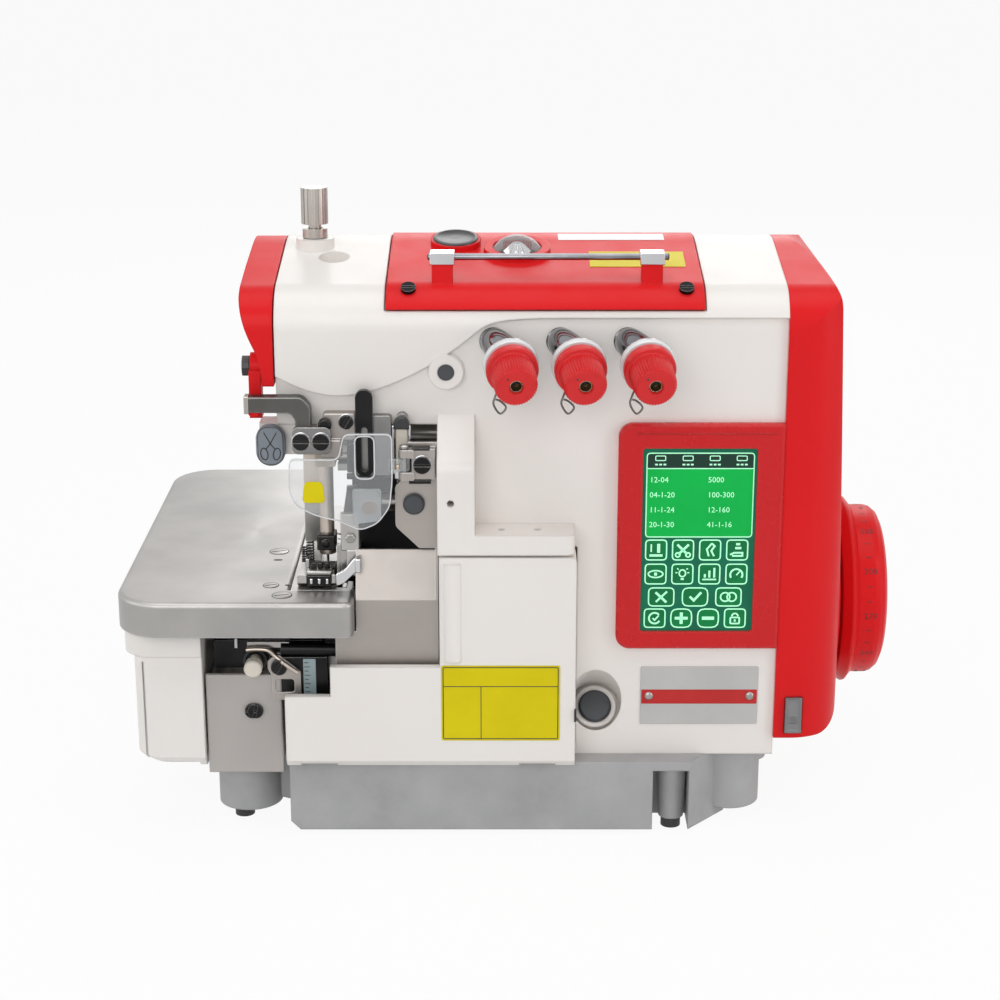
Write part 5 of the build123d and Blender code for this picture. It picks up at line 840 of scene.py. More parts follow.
def dress_screen():
    """The lit picture behind the touch screen: status strip, number field and keys."""
    low = edges("panel_screen")[0]
    face = seat((low.x, low.y, low.z))
    frame_film = 0.09
    make("screen_status_strip", screen_strip, "frame", "screen_glass",
         (slab, face, rectangle(51.0, 7.0, 1.2, 2.2, 83.6), 0.0, FIELD_FILM))
    make("screen_number_field", screen_green, "frame", "screen_glass",
         (slab, face, rectangle(51.0, 34.4, 1.6, 2.2, 49.0), 0.0, FIELD_FILM))
    make("screen_keys", screen_key_green, "frame", "screen_glass",
         *((slab, face, key_outline(key), 0.0, FIELD_FILM) for key in KEYS))

    lines = [
        (border, face, rectangle(51.6, 42.4, 1.8, 1.9, 48.7), 0.55, 0.0, frame_film),
        (stroke, face, [(2.2, 83.4), (53.2, 83.4)], 0.5, 0.0, frame_film),
    ]
    lines += [(border, face, key_outline(key, 3), 0.65, 0.0, LINE_FILM) for key in KEYS]
    for x in (8.4, 21.6, 34.6, 47.6):
        lines.append((border, face, rectangle(4.8, 2.3, 0.5, x - 2.4, 87.4, 2), 0.45, 0.0, LINE_FILM))
        lines += [(stroke, face, [(x + dash, 85.4), (x + dash + 1.3, 85.4)], 0.8, 0.0, LINE_FILM)
                  for dash in (-2.6, -0.6, 1.4)]
    make("screen_outlines", screen_pale, "frame", "screen_glass", *lines)

    marks = []
    for y, left, right in NUMBER_ROWS:
        marks += [(figures, face, left, 3.9, frame_film, 3.4, y),
                  (figures, face, right, 3.9, frame_film, 31.5, y)]
    for draw, signs in ((stroke, OPEN_SIGNS), (border, CLOSED_SIGNS)):
        for key, width, *points in signs:
            x, y = KEYS[key][:2]
            marks.append((draw, face, [(x + a, y + b) for a, b in points], width, 0.0, LINE_FILM))
    make("screen_figures", screen_pale, "frame", "screen_glass", *marks)


def place_name_plate():
    """Bare silver plate under the panel, with a plain red band and two rivets."""
    low, high = edges("panel_bezel")
    face = seat((low.x + 13.0, high.y, low.z - 41.5))
    thick = 0.5
    make("bare_name_plate", plate_silver, "frame", "brushed_plate",
         (slab, face, rectangle(58.7, 30.8, 0.8, steps=2), 0.0, thick, 0.15))
    make("name_plate_band", foil_red, "frame", "red_paint",
         (slab, face, rectangle(57.7, 7.6, 0.3, 0.5, 11.0, 2), thick, thick + 0.06))
    rivet = [(2.1, 0.4), (2.1, 0.8), (1.7, 1.2), (1.0, 1.45), (0.4, 1.5)]
    make("name_plate_rivets", machined_steel, "frame", "machined_steel",
         *((lathe, along_face(face, x, 15.2), rivet, 20) for x in (4.2, 54.6)))


# === plain places for signs ==========================================================

def place_cover_notice():
    """Bare yellow foil on the front cover, with thin dark rules only."""
    low, high = edges("front_cover")
    face = seat((high.x - 65.8, COVER_FACE, low.z + 14.9))
    foil, rule = 0.18, 0.24
    make("cover_notice_foil", foil_yellow, "looper_cover", "red_paint",
         (slab, face, rectangle(58.2, 39.6, 1.2, steps=3), 0.0, foil))
    make("cover_notice_rules", line_black, "looper_cover", "black_plastic",
         (border, face, rectangle(56.2, 37.6, 0.8, 1.0, 1.0, 3), 0.45, foil, rule),
         (stroke, face, [(1.0, 28.6), (57.2, 28.6)], 0.4, foil, rule),
         (stroke, face, [(19.5, 1.0), (19.5, 28.6)], 0.4, foil, rule))


def foil_on_cover(name, finish, x_low, x_high, y_low, y_high):
    """A foil that follows the top cover's skin."""
    shape, columns, rows = bmesh.new(), 16, 6
    above, down = 400.0, Vector((0, 0, -1))
    layers = []
    for lift in (0.02, 0.22):
        grid = []
        for j in range(rows + 1):
            line = []
            for i in range(columns + 1):
                x = x_low + (x_high - x_low) * i / columns
                y = y_low + (y_high - y_low) * j / rows
                skin = nodes["top_cover"].ray_cast(Vector((x, y, above)) * MM, down)[1]
                line.append(shape.verts.new((x, y, skin.z / MM + lift)))
            grid.append(line)
        layers.append(grid)
    for grid in layers:
        for near, far in zip(grid, grid[1:]):
            for i in range(columns):
                shape.faces.new((near[i], near[i + 1], far[i + 1], far[i]))
    rims = [near + [line[-1] for line in sides] + far[::-1] + [line[0] for line in reversed(sides)]
            for near, *sides, far in layers]
    join_rings(shape, rims, capped=False)
    settle(name, shape, finish, "frame")


# === thread tensions =================================================================

def tension_seat(index, along):
    place, axis = pivot(f"tension_turn_{index}")
    return seat(place + axis * along, axis)


def make_tension_knob(index):
    """Red knob with a rear flange and a finely serrated nose round a hole, darkened inside by a black plug
    as painted shade.
    """
    place, body, teeth = tension_seat(index, 26.0), f"tension_dial_{index}", 44
    knob = bmesh.new()
    collar(knob, place, [(5.0, 0.2), (11.2, 0.2), (12.2, 1.0), (12.3, 4.6), (11.8, 5.6), (10.4, 6.0),
                         (9.9, 6.6), (5.0, 6.6)], 56)
    nose = ((9.9, 0.0, 6.4), (10.5, 0.75, 7.6), (10.0, 0.75, 19.4), (9.3, 0.5, 20.6))
    hole = ((8.4, 20.9), (3.5, 20.9), (3.3, 20.4), (3.3, 8.0), (5.0, 8.0), (5.0, 6.4))
    rings = [put(knob, place, level(fluted(radius, bite, teeth), height)) for radius, bite, height in nose]
    rings += [put(knob, place, level(disc(radius, steps=2 * teeth), height)) for radius, height in hole]
    join_rings(knob, rings + rings[:1], capped=False)
    piece = settle(f"serrated_tension_knob_{index}", knob, ribbed_red_plastic, body, 25.0)
    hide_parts(f"tension_knob_{index}")
    make(f"tension_knob_insert_{index}", brass_insert, body, "machined_steel",
         (collar, place, [(3.25, 8.5), (3.25, 19.4), (2.7, 19.6), (2.0, 17.0), (2.0, 8.5)], 24))
    # Black plug in the knob's hole: painted shade inside the hole.
    make(f"tension_knob_hole_shade_{index}", line_black, body, "black_plastic",
         (lathe, place, [(2.3, 9.0), (2.3, 16.0)], 20))
    make(f"tension_knob_mark_{index}", line_black, body, "black_plastic",
         (lathe, along_face(place, -4.0, 4.4), [(0.55, 20.7), (0.55, 21.0)], 12))


def make_tension_fittings(index):
    """White collar and thread loop behind a knob."""
    make(f"tension_collar_{index}", collar_white, "frame", "clear_glass",
         (collar, tension_seat(index, 21.6),
          [(8.4, 0.0), (12.6, 0.0), (13.0, 0.7), (13.0, 2.6), (12.4, 3.6), (8.6, 4.0), (8.4, 3.0)], 48))
    base = Matrix.Translation(pivot(f"tension_turn_{index}")[0])
    eye = flowing([(-1.5, -21.0, -14.0), (-4.6, -25.0, -20.2), (-5.4, -25.6, -24.0), (-2.4, -25.6, -28.4),
                   (0.4, -25.6, -25.4), (-2.6, -25.4, -22.2), (-5.6, -25.0, -21.6)], 5)
    make(f"tension_loop_{index}", dark_lever_steel, "frame", "dark_steel",
         (pipe, base, eye, 0.5, 8), sharp=60.0)


def make_tension_hoods():
    """Chrome scoops that carry the tension posts."""
    scoop = flowing([(-5.2, 0.0, 0.4), (-4.4, -4.0, 0.4), (-2.4, -8.6, -0.8), (0.4, -14.0, -2.6),
                     (2.35, -20.6, -5.0)], 5)
    widening = [6.4 + 2.0 * math.sin(math.pi / 2 * i / (len(scoop) - 1)) for i in range(len(scoop))]
    lip = [(-5.2 + x, -1.6 - 1.2 * x / 6.2, 0.4 + z) for x, z in arc(6.2, 60, 230, steps=17)]
    parts = []
    for index in (1, 2, 3):
        place = Matrix.Translation(pivot(f"tension_turn_{index}")[0])
        parts += [(lathe, tension_seat(index, 0.0), [(3.1, 4.0), (3.1, 41.5), (2.6, 42.0)], 24),
                  (pipe, place, scoop, widening, 32),
                  (pipe, place, lip, 0.9, 10)]
    piece = make("tension_hoods", dark_chrome, "frame", "chrome", *parts, sharp=50.0)
    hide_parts("tension_posts")


# === top of the arm ==================================================================

def dress_top_cover():
    """Two bare foils on the red cover, and the clamps and end beads of the thread rail."""
    foil_on_cover("cover_foil_yellow", foil_yellow, 36.5, 83.0, -46.0, -26.0)
    foil_on_cover("cover_foil_white", foil_white, 22.0, 75.0, -10.0, 2.0)
    low, high = edges("thread_rail")
    middle = (low + high) / 2
    make("rail_clamps", bright_chrome, "frame", "chrome",
         *((bar, (x - 5.9, middle.y - 4.1, low.z - 1.8), (x + 5.9, middle.y + 4.6, high.z + 1.1), 0.5)
           for x in (low.x + 6.5, high.x - 7.5)))
    bead = [(1.0, -0.5), (1.85, 0.0), (1.0, 0.5)]
    make("rail_end_beads", black_oxide, "frame", "dark_steel",
         *((lathe, seat((x, middle.y, middle.z), (1, 0, 0), (0, 1, 0)), bead, 20)
           for x in (low.x - 0.1, high.x + 0.1)), sharp=60.0)


def dress_sight_glass():
    """Fluted spinner and dark well under the clear dome."""
    low, high = edges("sight_glass")
    middle = (low + high) / 2
    lean = seat((middle.x, middle.y, low.z + 2.0), pivot("filler_cap_turn")[1])
    star = bmesh.new()
    join_rings(star, [put(star, lean, level(fluted(radius, 0.19 * radius, 12), rise))
                      for radius, rise in ((8.6, 1.0), (7.0, 3.4), (2.4, 7.6))])
    settle("sight_glass_spinner", star, bright_chrome, "frame", 20.0)
    make("sight_glass_well", black_oxide, "frame", "dark_steel",
         (collar, lean, [(10.8, 0.4), (10.8, 1.0), (9.4, 1.3), (9.0, 0.8), (9.0, 0.4)], 40),
         (lathe, lean, [(9.2, 0.2), (9.2, 0.7)], 32))


def make_filler_lid():
    """Flat black lid over the oil hole."""
    place, axis = pivot("filler_cap_turn")
    top = (edges("oil_filler_cap")[1].z - place.z) / axis.z
    below_top = ((7.2, 12.0), (7.2, 7.4), (11.0, 7.2), (11.3, 6.6), (11.3, 5.2), (10.9, 4.6),
                 (9.6, 4.4), (9.2, 4.7), (2.0, 4.7))
    piece = make("flat_filler_lid", black_moulding, "filler_cap", "black_plastic",
                 (lathe, seat(place, axis), [(radius, top - drop) for radius, drop in below_top], 56))
    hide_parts("oil_filler_cap")


# === left end of the arm =============================================================

def make_hand_lever():
    """Square-ended steel lever that swings the foot away, with a bright cheek at its outer end."""
    back = edges("release_lever")[1].y
    blade = softened([(-107.0, 219.8), (-104.6, 217.0), (-104.4, 205.0), (-97.2, 205.0), (-97.2, 222.8),
                      (-101.4, 227.6), (-127.8, 227.6), (-127.8, 220.0)], 2.0, 4)
    piece = make("square_hand_lever", dark_lever_steel, "hand_lever", "dark_steel",
                 (slab, seat((0, back, 0)), blade, 0.0, 6.6, 0.4))
    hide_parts("release_lever")
    make("hand_lever_cheek", satin_nickel, "hand_lever", "machined_steel",
         (bar, (-128.8, back - 6.7, 219.4), (-126.4, back, 228.0), 0.4))


def mark_trim_button():
    """Scissors in outline on the trimming button, and a thin rim round them."""
    low, high = edges("trim_button")
    middle = (low + high) / 2
    face = seat((middle.x, low.y, middle.z))
    turns = [math.tau * i / 20 for i in range(20)]
    blades, grips = [], []
    for side in (1, -1):
        blade = [(-3.0 * side, 6.6), (0.2 * side, 0.8), (2.2 * side, -1.6)]
        blades.append((stroke, face, blade, 0.5, SUNK, 0.1))
        grip = [(1.7 * math.cos(turn) - side * (3.0 + 0.35 * math.sin(turn)), -4.0 + 2.9 * math.sin(turn))
                for turn in turns]
        grips.append((border, face, grip, 0.5, SUNK, 0.1))
    make("trim_button_scissors", line_black, "trim_key", "black_plastic", *blades, *grips)
    rim = rectangle(13.8, 20.2, 6.2, -6.9, -10.1, 6)
    make("trim_button_rim", dark_grey_plastic, "trim_key", "grey_plastic",
         (border, face, offset(rim, 0.9), 0.35, SUNK, 0.06))


# === needle area =====================================================================

def make_eye_guard():
    """Clear guard in two panes, with a slot for the take-up lever, and white bands along its polished edges
    and its slot that paint their highlight.
    """
    back = edges("eye_guard")[1].y
    face, sheet = seat((0, back - 3.6, 0)), 2.0
    left_pane = [(-107.3, 199.5), (-107.8, 184.0), (-104.9, 176.5), (-95.9, 171.7)]
    right_pane = [(-84.0, 168.6), (-73.9, 164.0), (-65.5, 167.6), (-59.6, 175.7), (-58.2, 189.0),
                  (-58.2, 212.0), (-81.3, 212.0), (-84.0, 199.5)]
    whole = softened(left_pane + right_pane, 3.2, 5)
    slot = rectangle(8.6, 20.4, 3.0, -75.6, 190.2, 5)
    hinge_x, hinge_y, knuckle_z = -52.65, -94.0, 193.6
    piece = make("clear_eye_guard", guard_clear, "eye_shield", "clear_guard",
                 (pierced, face, whole, slot, 0.0, sheet),
                 (lathe, seat((hinge_x, hinge_y, knuckle_z), UP), [(2.7, 0.0), (2.7, 5.8)], 24),
                 (bar, (-60.0, back - 5.6, knuckle_z), (-53.0, back - 3.6, 199.4), 0.3))
    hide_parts("eye_guard")
    # White bands round the guard and its slot: painted highlight on the polished edges.
    make("eye_guard_edge_highlights", foil_white, "eye_shield", "clear_guard",
         (border, face, offset(whole, 0.25), 0.55, sheet - 0.3, sheet + 0.15),
         (border, face, offset(slot, -0.3), 0.6, sheet - 0.3, sheet + 0.15))
    block = [(-77.6, 166.6), (-64.2, 168.4), (-64.0, 183.6), (-77.6, 183.6)]
    make("eye_guard_block", guard_frosted, "eye_shield", "clear_guard",
         (slab, face, softened(block, 1.2), -3.0, 0.0))
    make("eye_guard_block_screw", guard_stainless, "eye_shield", "machined_steel",
         (lathe, along_face(face, -69.6, 175.0), [(3.5, 0.0), (3.5, 0.1)], 28))
    patch = [(-101.4, 178.0), (-90.4, 178.0), (-91.6, 188.6), (-100.2, 188.6)]
    make("eye_guard_foil", foil_yellow, "eye_shield", "clear_guard",
         (slab, face, softened(patch, 2.4), sheet, sheet + 0.12))
    make("eye_guard_pin", machined_steel, "eye_shield", "machined_steel",
         (lathe, seat((hinge_x, hinge_y, 189.0), UP),
          [(1.4, 0.0), (1.4, 15.6), (2.2, 15.6), (2.2, 16.6), (1.6, 17.1)], 20))


def dress_guide_bar():
    """Facing, cap, rails and keeper on the upright thread guide."""
    make("guide_bar_facing", cream_nylon, "frame", "grey_plastic",
         (bar, (-57.0, -85.4, 193.4), (-51.2, -83.0, 211.6), 0.7))
    half, shoulder = 3.8, 2.2
    crown = [(-half, 0.0), (half, 0.0)] + arc(half, 0, 180, 0.0, shoulder, 14)
    make("guide_bar_cap", black_moulding, "frame", "black_plastic",
         (slab, seat((-54.2, -83.2, 211.4)), crown, 0.0, 3.4, 0.6))
    make("guide_bar_rails", bright_chrome, "frame", "chrome",
         *((bar, (x - 0.6, -85.6, 189.0), (x + 0.6, -83.0, 213.0), 0.3) for x in (-58.2, -50.4)),
         (bar, (-57.6, -86.0, 186.4), (-51.4, -83.6, 191.0), 0.5))
    make("guide_bar_keeper", brass_insert, "frame", "machined_steel",
         (bar, (-57.0, -86.2, 190.8), (-51.4, -83.4, 193.4), 0.4))


def dress_take_up():
    """Plate, screws, seats and slides round the take-up lever."""
    thick = 6.5
    plate_front = ARM_FACE - thick
    plate_screw, plate_nut = (-80.4, plate_front, 215.2), (-90.6, plate_front, 214.0)
    make("take_up_plate", guard_stainless, "frame", "machined_steel",
         (slab, seat((0, ARM_FACE, 0)), rectangle(15.6, 13.0, 1.6, -91.6, 206.0), 0.0, thick, 0.4),
         (bar, (-92.4, -88.0, 197.6), (-83.0, ARM_FACE, 206.6), 0.6))
    make("take_up_plate_screws", black_oxide, "frame", "dark_steel",
         (slotted_head, seat(plate_screw), 3.5, 2.0, 60.0),
         (lathe, seat(plate_nut), [(3.2, 0.0), (3.2, 3.0), (2.6, 3.6), (1.0, 3.8)], 28))
    rings = []
    for place, radius in (((-101.75, -91.1, 206.9), 4.5), ((-92.25, -91.1, 206.9), 4.5),
                          (plate_screw, 3.9), ((-44.15, -94.6, 196.4), 4.7)):
        inner = radius - 0.45
        rings.append((collar, seat(place), [(radius, 0.0), (radius, 0.5), (inner, 0.7), (inner, 0.0)], 32))
    make("screw_seat_rings", bright_chrome, "frame", "chrome", *rings)
    make("bracket_stop_plate", black_oxide, "frame", "dark_steel",
         (bar, (-50.4, -91.2, 190.0), (-48.4, -84.0, 204.8), 0.4),
         (bar, (-50.6, -95.0, 186.8), (-40.0, -84.4, 188.8), 0.4),
         (bar, (-49.0, -94.8, 203.2), (-40.4, -90.0, 204.6), 0.4))
    make("take_up_slide_block", black_oxide, "frame", "dark_steel",
         (bar, (-80.6, -83.6, 189.0), (-76.4, -79.2, 204.0), 0.5),
         (bar, (-68.0, -83.4, 188.0), (-59.6, -79.2, 216.8), 0.6),
         (pipe, MACHINE, [(-81.0, -81.0, 186.6), (-58.0, -81.0, 186.6)], 1.5, 14))


def dress_needle_clamp():
    """Clamp block, grub screw and thread eyelet on the needle bar's end."""
    make("needle_clamp_block", black_oxide, "needle_carrier", "dark_steel",
         (bar, (-97.4, -69.2, 144.6), (-88.2, -58.2, 152.6), 0.8),
         (lathe, seat((-93.0, -69.1, 148.4)), [(2.0, 0.0), (2.0, 0.7), (1.6, 1.0)], 20))
    eye = flowing([(-88.2, -62.0, 151.4), (-85.8, -63.0, 151.0), (-84.8, -65.4, 150.6),
                   (-85.6, -67.6, 150.2), (-86.8, -67.0, 150.3)], 5)
    make("needle_clamp_eyelet", bright_chrome, "needle_carrier", "chrome",
         (pipe, MACHINE, eye, 0.45, 8), sharp=60.0)


def coil(x, y, low_z, high_z, radius, turns=7, steps=12):
    """The path of an upright spring's wire."""
    count = turns * steps
    return [(x + radius * math.cos(math.tau * i / steps), y + radius * math.sin(math.tau * i / steps),
             low_z + (high_z - low_z) * i / count) for i in range(count + 1)]


def dress_presser_foot():
    """Springs, side frame and toe bridge on the presser foot."""
    make("foot_toe_bridge", machined_steel, "presser", "machined_steel",
         (bar, (-101.9, -81.2, 136.0), (-89.4, -76.4, 138.2), 0.6),
         (bar, (-102.6, -76.0, 136.6), (-100.8, -60.0, 142.6), 0.4))
    make("foot_side_frame", black_oxide, "presser", "dark_steel",
         (bar, (-88.8, -76.0, 131.4), (-87.6, -70.6, 139.6), 0.4),
         (bar, (-101.8, -81.0, 130.0), (-89.6, -76.2, 136.0), 0.6),
         *((bar, (x - 1.2, -76.4, 135.8), (x + 1.2, -74.6, 141.0), 0.5) for x in (-98.6, -95.4, -92.2)))
    make("foot_toes", bright_chrome, "presser", "chrome",
         *((bar, (x - 0.7, -81.6, 131.4), (x + 0.7, -80.8, 134.2), 0.3) for x in (-99.6, -95.7, -91.8)))
    make("foot_springs", black_oxide, "presser", "dark_steel",
         (pipe, MACHINE, coil(-100.6, -70.0, 139.6, 150.0, 1.6), 0.42, 6),
         (pipe, MACHINE, coil(-103.9, -66.0, 137.6, 146.0, 1.3), 0.42, 6), sharp=60.0)


def dress_knives():
    """Bright knife holder, chip chute in front of it, and a black sheet behind the needle area that paints
    the shade seen through the throat.
    """
    holder_front, holder_back = -82.6, -79.2
    make("knife_holder", plate_ground, "knife_rocker", "machined_steel",
         (bar, (-84.6, holder_front, 149.0), (-75.6, holder_back, 168.0), 0.6),
         (bar, (-82.0, holder_front, 136.0), (-76.4, holder_back, 149.6), 0.6))
    chute = [(-87.2, 132.0), (-83.4, 133.2), (-79.4, 137.2), (-74.6, 141.6),
             (-74.6, 148.4), (-78.4, 146.0), (-82.6, 140.6), (-87.2, 138.4)]
    make("chip_chute", bright_chrome, "frame", "chrome",
         (slab, seat((0, -84.8, 0)), softened(chute, 1.6), 0.0, 1.4, 0.4),
         (bar, (-77.4, -90.4, 140.4), (-74.8, -84.9, 147.4), 0.4))
    # A black sheet at the back of the needle area: painted shade where the machine is dark inside.
    shield = [(-84.0, 112.0), (-37.2, 112.0), (-37.2, 214.0), (-76.0, 214.0), (-84.0, 198.0)]
    make("throat_shade_sheet", black_moulding, "frame", "black_plastic",
         (slab, seat((0, -4.0, 0)), softened(shield, 3.0), 0.0, 2.4, 0.5))
    make("knife_holder_screw", machined_steel, "knife_rocker", "machined_steel",
         (lathe, seat((-79.8, holder_front, 156.0)), [(2.6, 0.0), (2.6, 1.6), (2.1, 2.0)], 6))


def dress_cloth_plate():
    """Adjusting slots and screws in the plate beside the needle."""
    face = seat((0, 0, edges("cloth_plate")[1].z), UP)
    screws = ((-121.0, -24.0, 4.6), (-120.0, -76.0, 3.6), (-113.2, -90.4, 4.6))
    heads, dark = [], []
    for x, y, radius in screws:
        head = [(radius, 0.0), (radius, 0.12), (radius - 0.3, 0.2)]
        heads.append((lathe, along_face(face, x, y), head, 32))
        slot = [(x - radius * 0.8, y - 1.0), (x + radius * 0.8, y + 1.0)]
        dark += [(border, face, disc(radius + 0.2, x, y), 0.45, SUNK, 0.1),
                 (stroke, face, slot, 0.9, 0.0, 0.24)]
    dark += [(slab, face, oval(4.6, 2.2, -120.3, -37.4), SUNK, 0.08),
             (slab, face, oval(3.4, 2.0, -111.6, -75.8), SUNK, 0.08)]
    make("plate_screw_heads", plate_ground, "swing_plate", "machined_steel", *heads)
    make("plate_screw_slots", line_black, "swing_plate", "dark_steel", *dark)


# === under the cloth plate ===========================================================

def dress_adjusters():
    """Crank plate, scale strip, release wire and screws below the cloth plate."""
    front = edges("adjuster_block")[0].y
    face = seat((0, front, 0))
    plate_back, plate_front = 6.4, 7.6
    plate = softened([(-119.6, 73.4), (-105.4, 73.4), (-105.4, 88.2), (-116.4, 97.4), (-121.6, 94.0),
                      (-121.6, 90.0), (-119.6, 86.0)], 1.4, 4)
    make("crank_plate", guard_stainless, "frame", "machined_steel",
         (pierced, face, plate, rectangle(9.4, 7.0, 1.8, -118.0, 77.4), plate_back, plate_front))
    make("crank_backing", black_oxide, "frame", "dark_steel",
         (bar, (-121.0, front - 6.3, 72.6), (-92.0, front - 5.0, 95.6), 0.4),
         (bar, (-122.4, front - 6.6, 69.6), (-116.6, front - 5.0, 73.4), 0.4),
         (pipe, MACHINE, [(-115.0, front - 4.0, 99.0), (-84.6, front - 4.0, 98.6)], 3.4, 20))
    make("crank_scale_strip", foil_blue, "frame", "chrome",
         (slab, face, rectangle(6.2, 21.6, 0.4, -104.2, 73.0, 2), 6.3, 6.5))
    ticks = [[(-103.6, 75.0 + 2.2 * i), (-101.6 + 0.9 * (i % 2), 75.0 + 2.2 * i)] for i in range(9)]
    make("crank_scale_ticks", line_black, "frame", "dark_steel",
         *((stroke, face, tick, 0.35, 6.5, 6.55) for tick in ticks))
    bends = [(-132.0, 6.4, 99.4), (-127.0, 6.6, 99.8), (-121.4, 7.0, 99.4), (-118.0, 7.2, 96.6),
             (-113.0, 8.6, 92.8), (-106.6, 9.0, 88.2)]
    make("release_wire", warm_steel, "frame", "machined_steel",
         (pipe, MACHINE, flowing([(x, front - reach, z) for x, reach, z in bends], 6), 1.15, 12), sharp=60.0)
    make("adjuster_screws", black_oxide, "frame", "dark_steel",
         (slotted_head, seat((-115.9, front - 7.8, 91.0)), 4.0, 1.8, 60.0),
         (slotted_head, seat((-128.4, -88.1, 67.5)), 3.9, 1.5, 80.0))
    make("adjuster_tab", foil_white, "frame", "machined_steel",
         (bar, (-138.2, front - 2.4, 98.6), (-136.8, front - 0.6, 103.6), 0.3))
    right = edges("front_cover")[1].x
    make("cover_latch_pin", black_oxide, "looper_cover", "dark_steel",
         (bar, (right - 0.6, -99.6, 66.0), (right + 0.5, -97.0, 72.6), 0.3))
    low, high = edges("stitch_button")
    middle = (low + high) / 2
    make("stitch_button_ring", black_moulding, "frame", "black_plastic",
         (collar, seat((middle.x, front - 0.2, middle.z)),
          [(4.9, 0.0), (6.4, 0.0), (6.4, 1.2), (5.9, 1.8), (4.9, 1.8)], 36))


# === handwheel and front face ========================================================

def dress_handwheel():
    """Inner flange, index marks and plain numbers round the wheel's rim."""
    left = edges("handwheel")[0].x
    place, axis = pivot("handwheel_spin")
    make("handwheel_flange", red_enamel, "drive_shaft", "red_paint",
         (collar, seat((left, place.y, place.z), axis, UP),
          [(43.0, 0.6), (46.5, 0.6), (49.6, 5.4), (49.4, 6.6), (45.8, 9.4), (43.0, 9.4)], 96))
    marks, number_every, rim = 36, 3, 45.0
    ink = []
    for step in range(marks):
        turn = math.tau * step / marks
        out = Vector((0, math.sin(turn), math.cos(turn)))
        face = seat(Vector((left + 13.2, place.y, place.z)) + rim * out, out, (1, 0, 0))
        if step % number_every:
            ink.append((stroke, face, [(0.0, 0.0), (2.6, 0.0)], 0.5, SUNK, 0.06))
        else:
            ink.append((figures, face, str(10 * step), 4.6, 0.1, 2.0, 0.0, "CENTER"))
    make("handwheel_numbers", wheel_ink, "drive_shaft", "dark_steel", *ink)


def dress_panel_edge():
    """Rolled highlight bead along the top of the panel's frame."""
    low, high = edges("panel_bezel")
    y, z = low.y + 0.1, high.z - 4.6
    make("panel_frame_bead", bezel_red, "frame", "red_gloss_frame",
         (pipe, MACHINE, [(low.x + 9.0, y, z), (high.x - 4.0, y, z)], 0.5, 10), sharp=60.0)


def dress_port_flap():
    """Finger ribs and rim on the small grey flap."""
    low, high = edges("port_cover")
    face = seat((low.x, low.y, low.z))
    width, height = high.x - low.x, high.z - low.z
    make("port_flap_ribs", flap_grey_plastic, "port_flap", "grey_plastic",
         (border, face, rectangle(width - 1.2, height - 1.2, 1.2, 0.6, 0.6, 3), 0.5, SUNK, 0.25),
         *((stroke, face, [(width * 0.3, height * rise), (width * 0.7, height * rise)], 0.5, SUNK, 0.25)
           for rise in (0.28, 0.36, 0.44)))


dress_screen()
place_name_plate()
place_cover_notice()
dress_top_cover()
dress_sight_glass()
make_filler_lid()
make_tension_hoods()
for number in (1, 2, 3):
    make_tension_knob(number)
    make_tension_fittings(number)
make_hand_lever()
mark_trim_button()
make_eye_guard()
dress_guide_bar()
dress_take_up()
dress_needle_clamp()
dress_presser_foot()
dress_knives()
dress_cloth_plate()
dress_adjusters()
dress_handwheel()
dress_panel_edge()
dress_port_flap()


# === studio ==========================================================================

def blend_when_seen(tree, share, unseen, seen, output):
    """Swaps one shader for another where a thing is looked at, mirrored or seen through glass."""
    path = add_node(tree, "ShaderNodeLightPath")
    factor = add_math(tree, "MAXIMUM", path.outputs["Is Camera Ray"],
                      add_math(tree, "MAXIMUM", path.outputs["Is Glossy Ray"],
                               path.outputs["Is Transmission Ray"]))
    blend = add_node(tree, "ShaderNodeMixShader")
    wire(
        tree,
        (add_math(tree, "MULTIPLY", factor, share), blend.inputs["Fac"]),
        (unseen, blend.inputs[1]),
        (seen, blend.inputs[2]),
        (blend.outputs["Shader"], tree.nodes[output].inputs["Surface"]),
    )


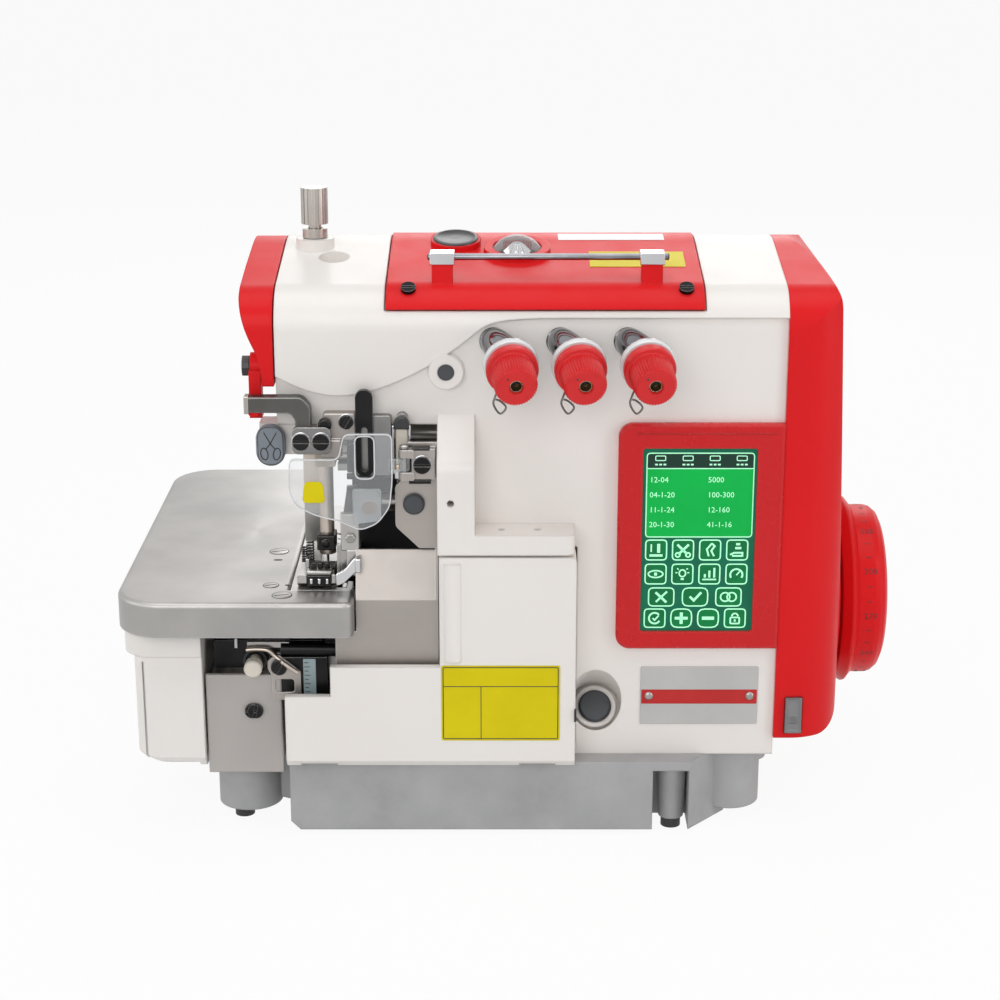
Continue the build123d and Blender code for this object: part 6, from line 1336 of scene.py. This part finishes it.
def studio_floor():
    mesh = bpy.data.meshes.new("studio_floor")
    shape = bmesh.new()
    bmesh.ops.create_grid(shape, x_segments=2, y_segments=2, size=6.0)
    shape.to_mesh(mesh)
    shape.free()
    floor = bpy.data.objects.new("studio_floor", mesh)
    bpy.context.scene.collection.objects.link(floor)
    material = bpy.data.materials.new("studio_paper")
    material.use_nodes = True
    tree = material.node_tree
    paper = tree.nodes["Principled BSDF"]
    paper.inputs["Base Color"].default_value = (0.86, 0.86, 0.86, 1)
    paper.inputs["Roughness"].default_value = 0.9
    glow = add_node(tree, "ShaderNodeEmission")
    blend_when_seen(tree, 0.93, paper.outputs["BSDF"], glow.outputs["Emission"], "Material Output")
    mesh.materials.append(material)


def studio_world():
    world = bpy.data.worlds.new("studio")
    bpy.context.scene.world = world
    world.use_nodes = True
    tree = world.node_tree
    soft, white = tree.nodes["Background"], add_node(tree, "ShaderNodeBackground")
    for sky, colour, strength in ((soft, (0.95, 0.97, 1.0, 1), 0.30), (white, (1, 1, 1, 1), 1.0)):
        sky.inputs["Color"].default_value = colour
        sky.inputs["Strength"].default_value = strength
    blend_when_seen(tree, 1.0, soft.outputs["Background"], white.outputs["Background"], "World Output")


def soft_lamp(name, place, width, height, watts):
    """A rectangular lamp aimed at the middle of the machine."""
    lamp = bpy.data.lights.new(name, "AREA")
    lamp.shape = "RECTANGLE"
    lamp.size, lamp.size_y = width, height
    lamp.energy = watts
    holder = bpy.data.objects.new(name, lamp)
    holder.location = place
    aim = (cad_bounds[0] + cad_bounds[1]) / 2
    holder.rotation_euler = (aim - Vector(place)).to_track_quat("-Z", "Y").to_euler()
    bpy.context.scene.collection.objects.link(holder)


def studio_camera():
    lens = bpy.data.cameras.new("camera")
    lens.lens = 76.68
    lens.sensor_width = 36.0
    lens.clip_start, lens.clip_end = 0.05, 20.0
    camera = bpy.data.objects.new("camera", lens)
    camera.location = (-0.00715, -1.0658, 0.4813)
    camera.rotation_euler = (math.radians(72.7), 0, 0)
    bpy.context.scene.collection.objects.link(camera)
    bpy.context.scene.camera = camera


studio_floor()
studio_world()
soft_lamp("overhead_softbox", (0.0, -0.25, 1.5), 1.4, 1.0, 8.2)
soft_lamp("front_softbox", (-0.5, -1.7, 0.9), 1.2, 0.9, 9.4)
soft_lamp("right_strip", (1.2, -0.6, 0.6), 0.35, 1.2, 5.0)
soft_lamp("left_fill", (-1.3, -0.4, 0.6), 0.8, 0.8, 3.0)
soft_lamp("rear_fill", (0.2, 1.4, 0.9), 1.0, 0.8, 5.0)
studio_camera()
bpy.context.scene.view_settings.view_transform = "Standard"
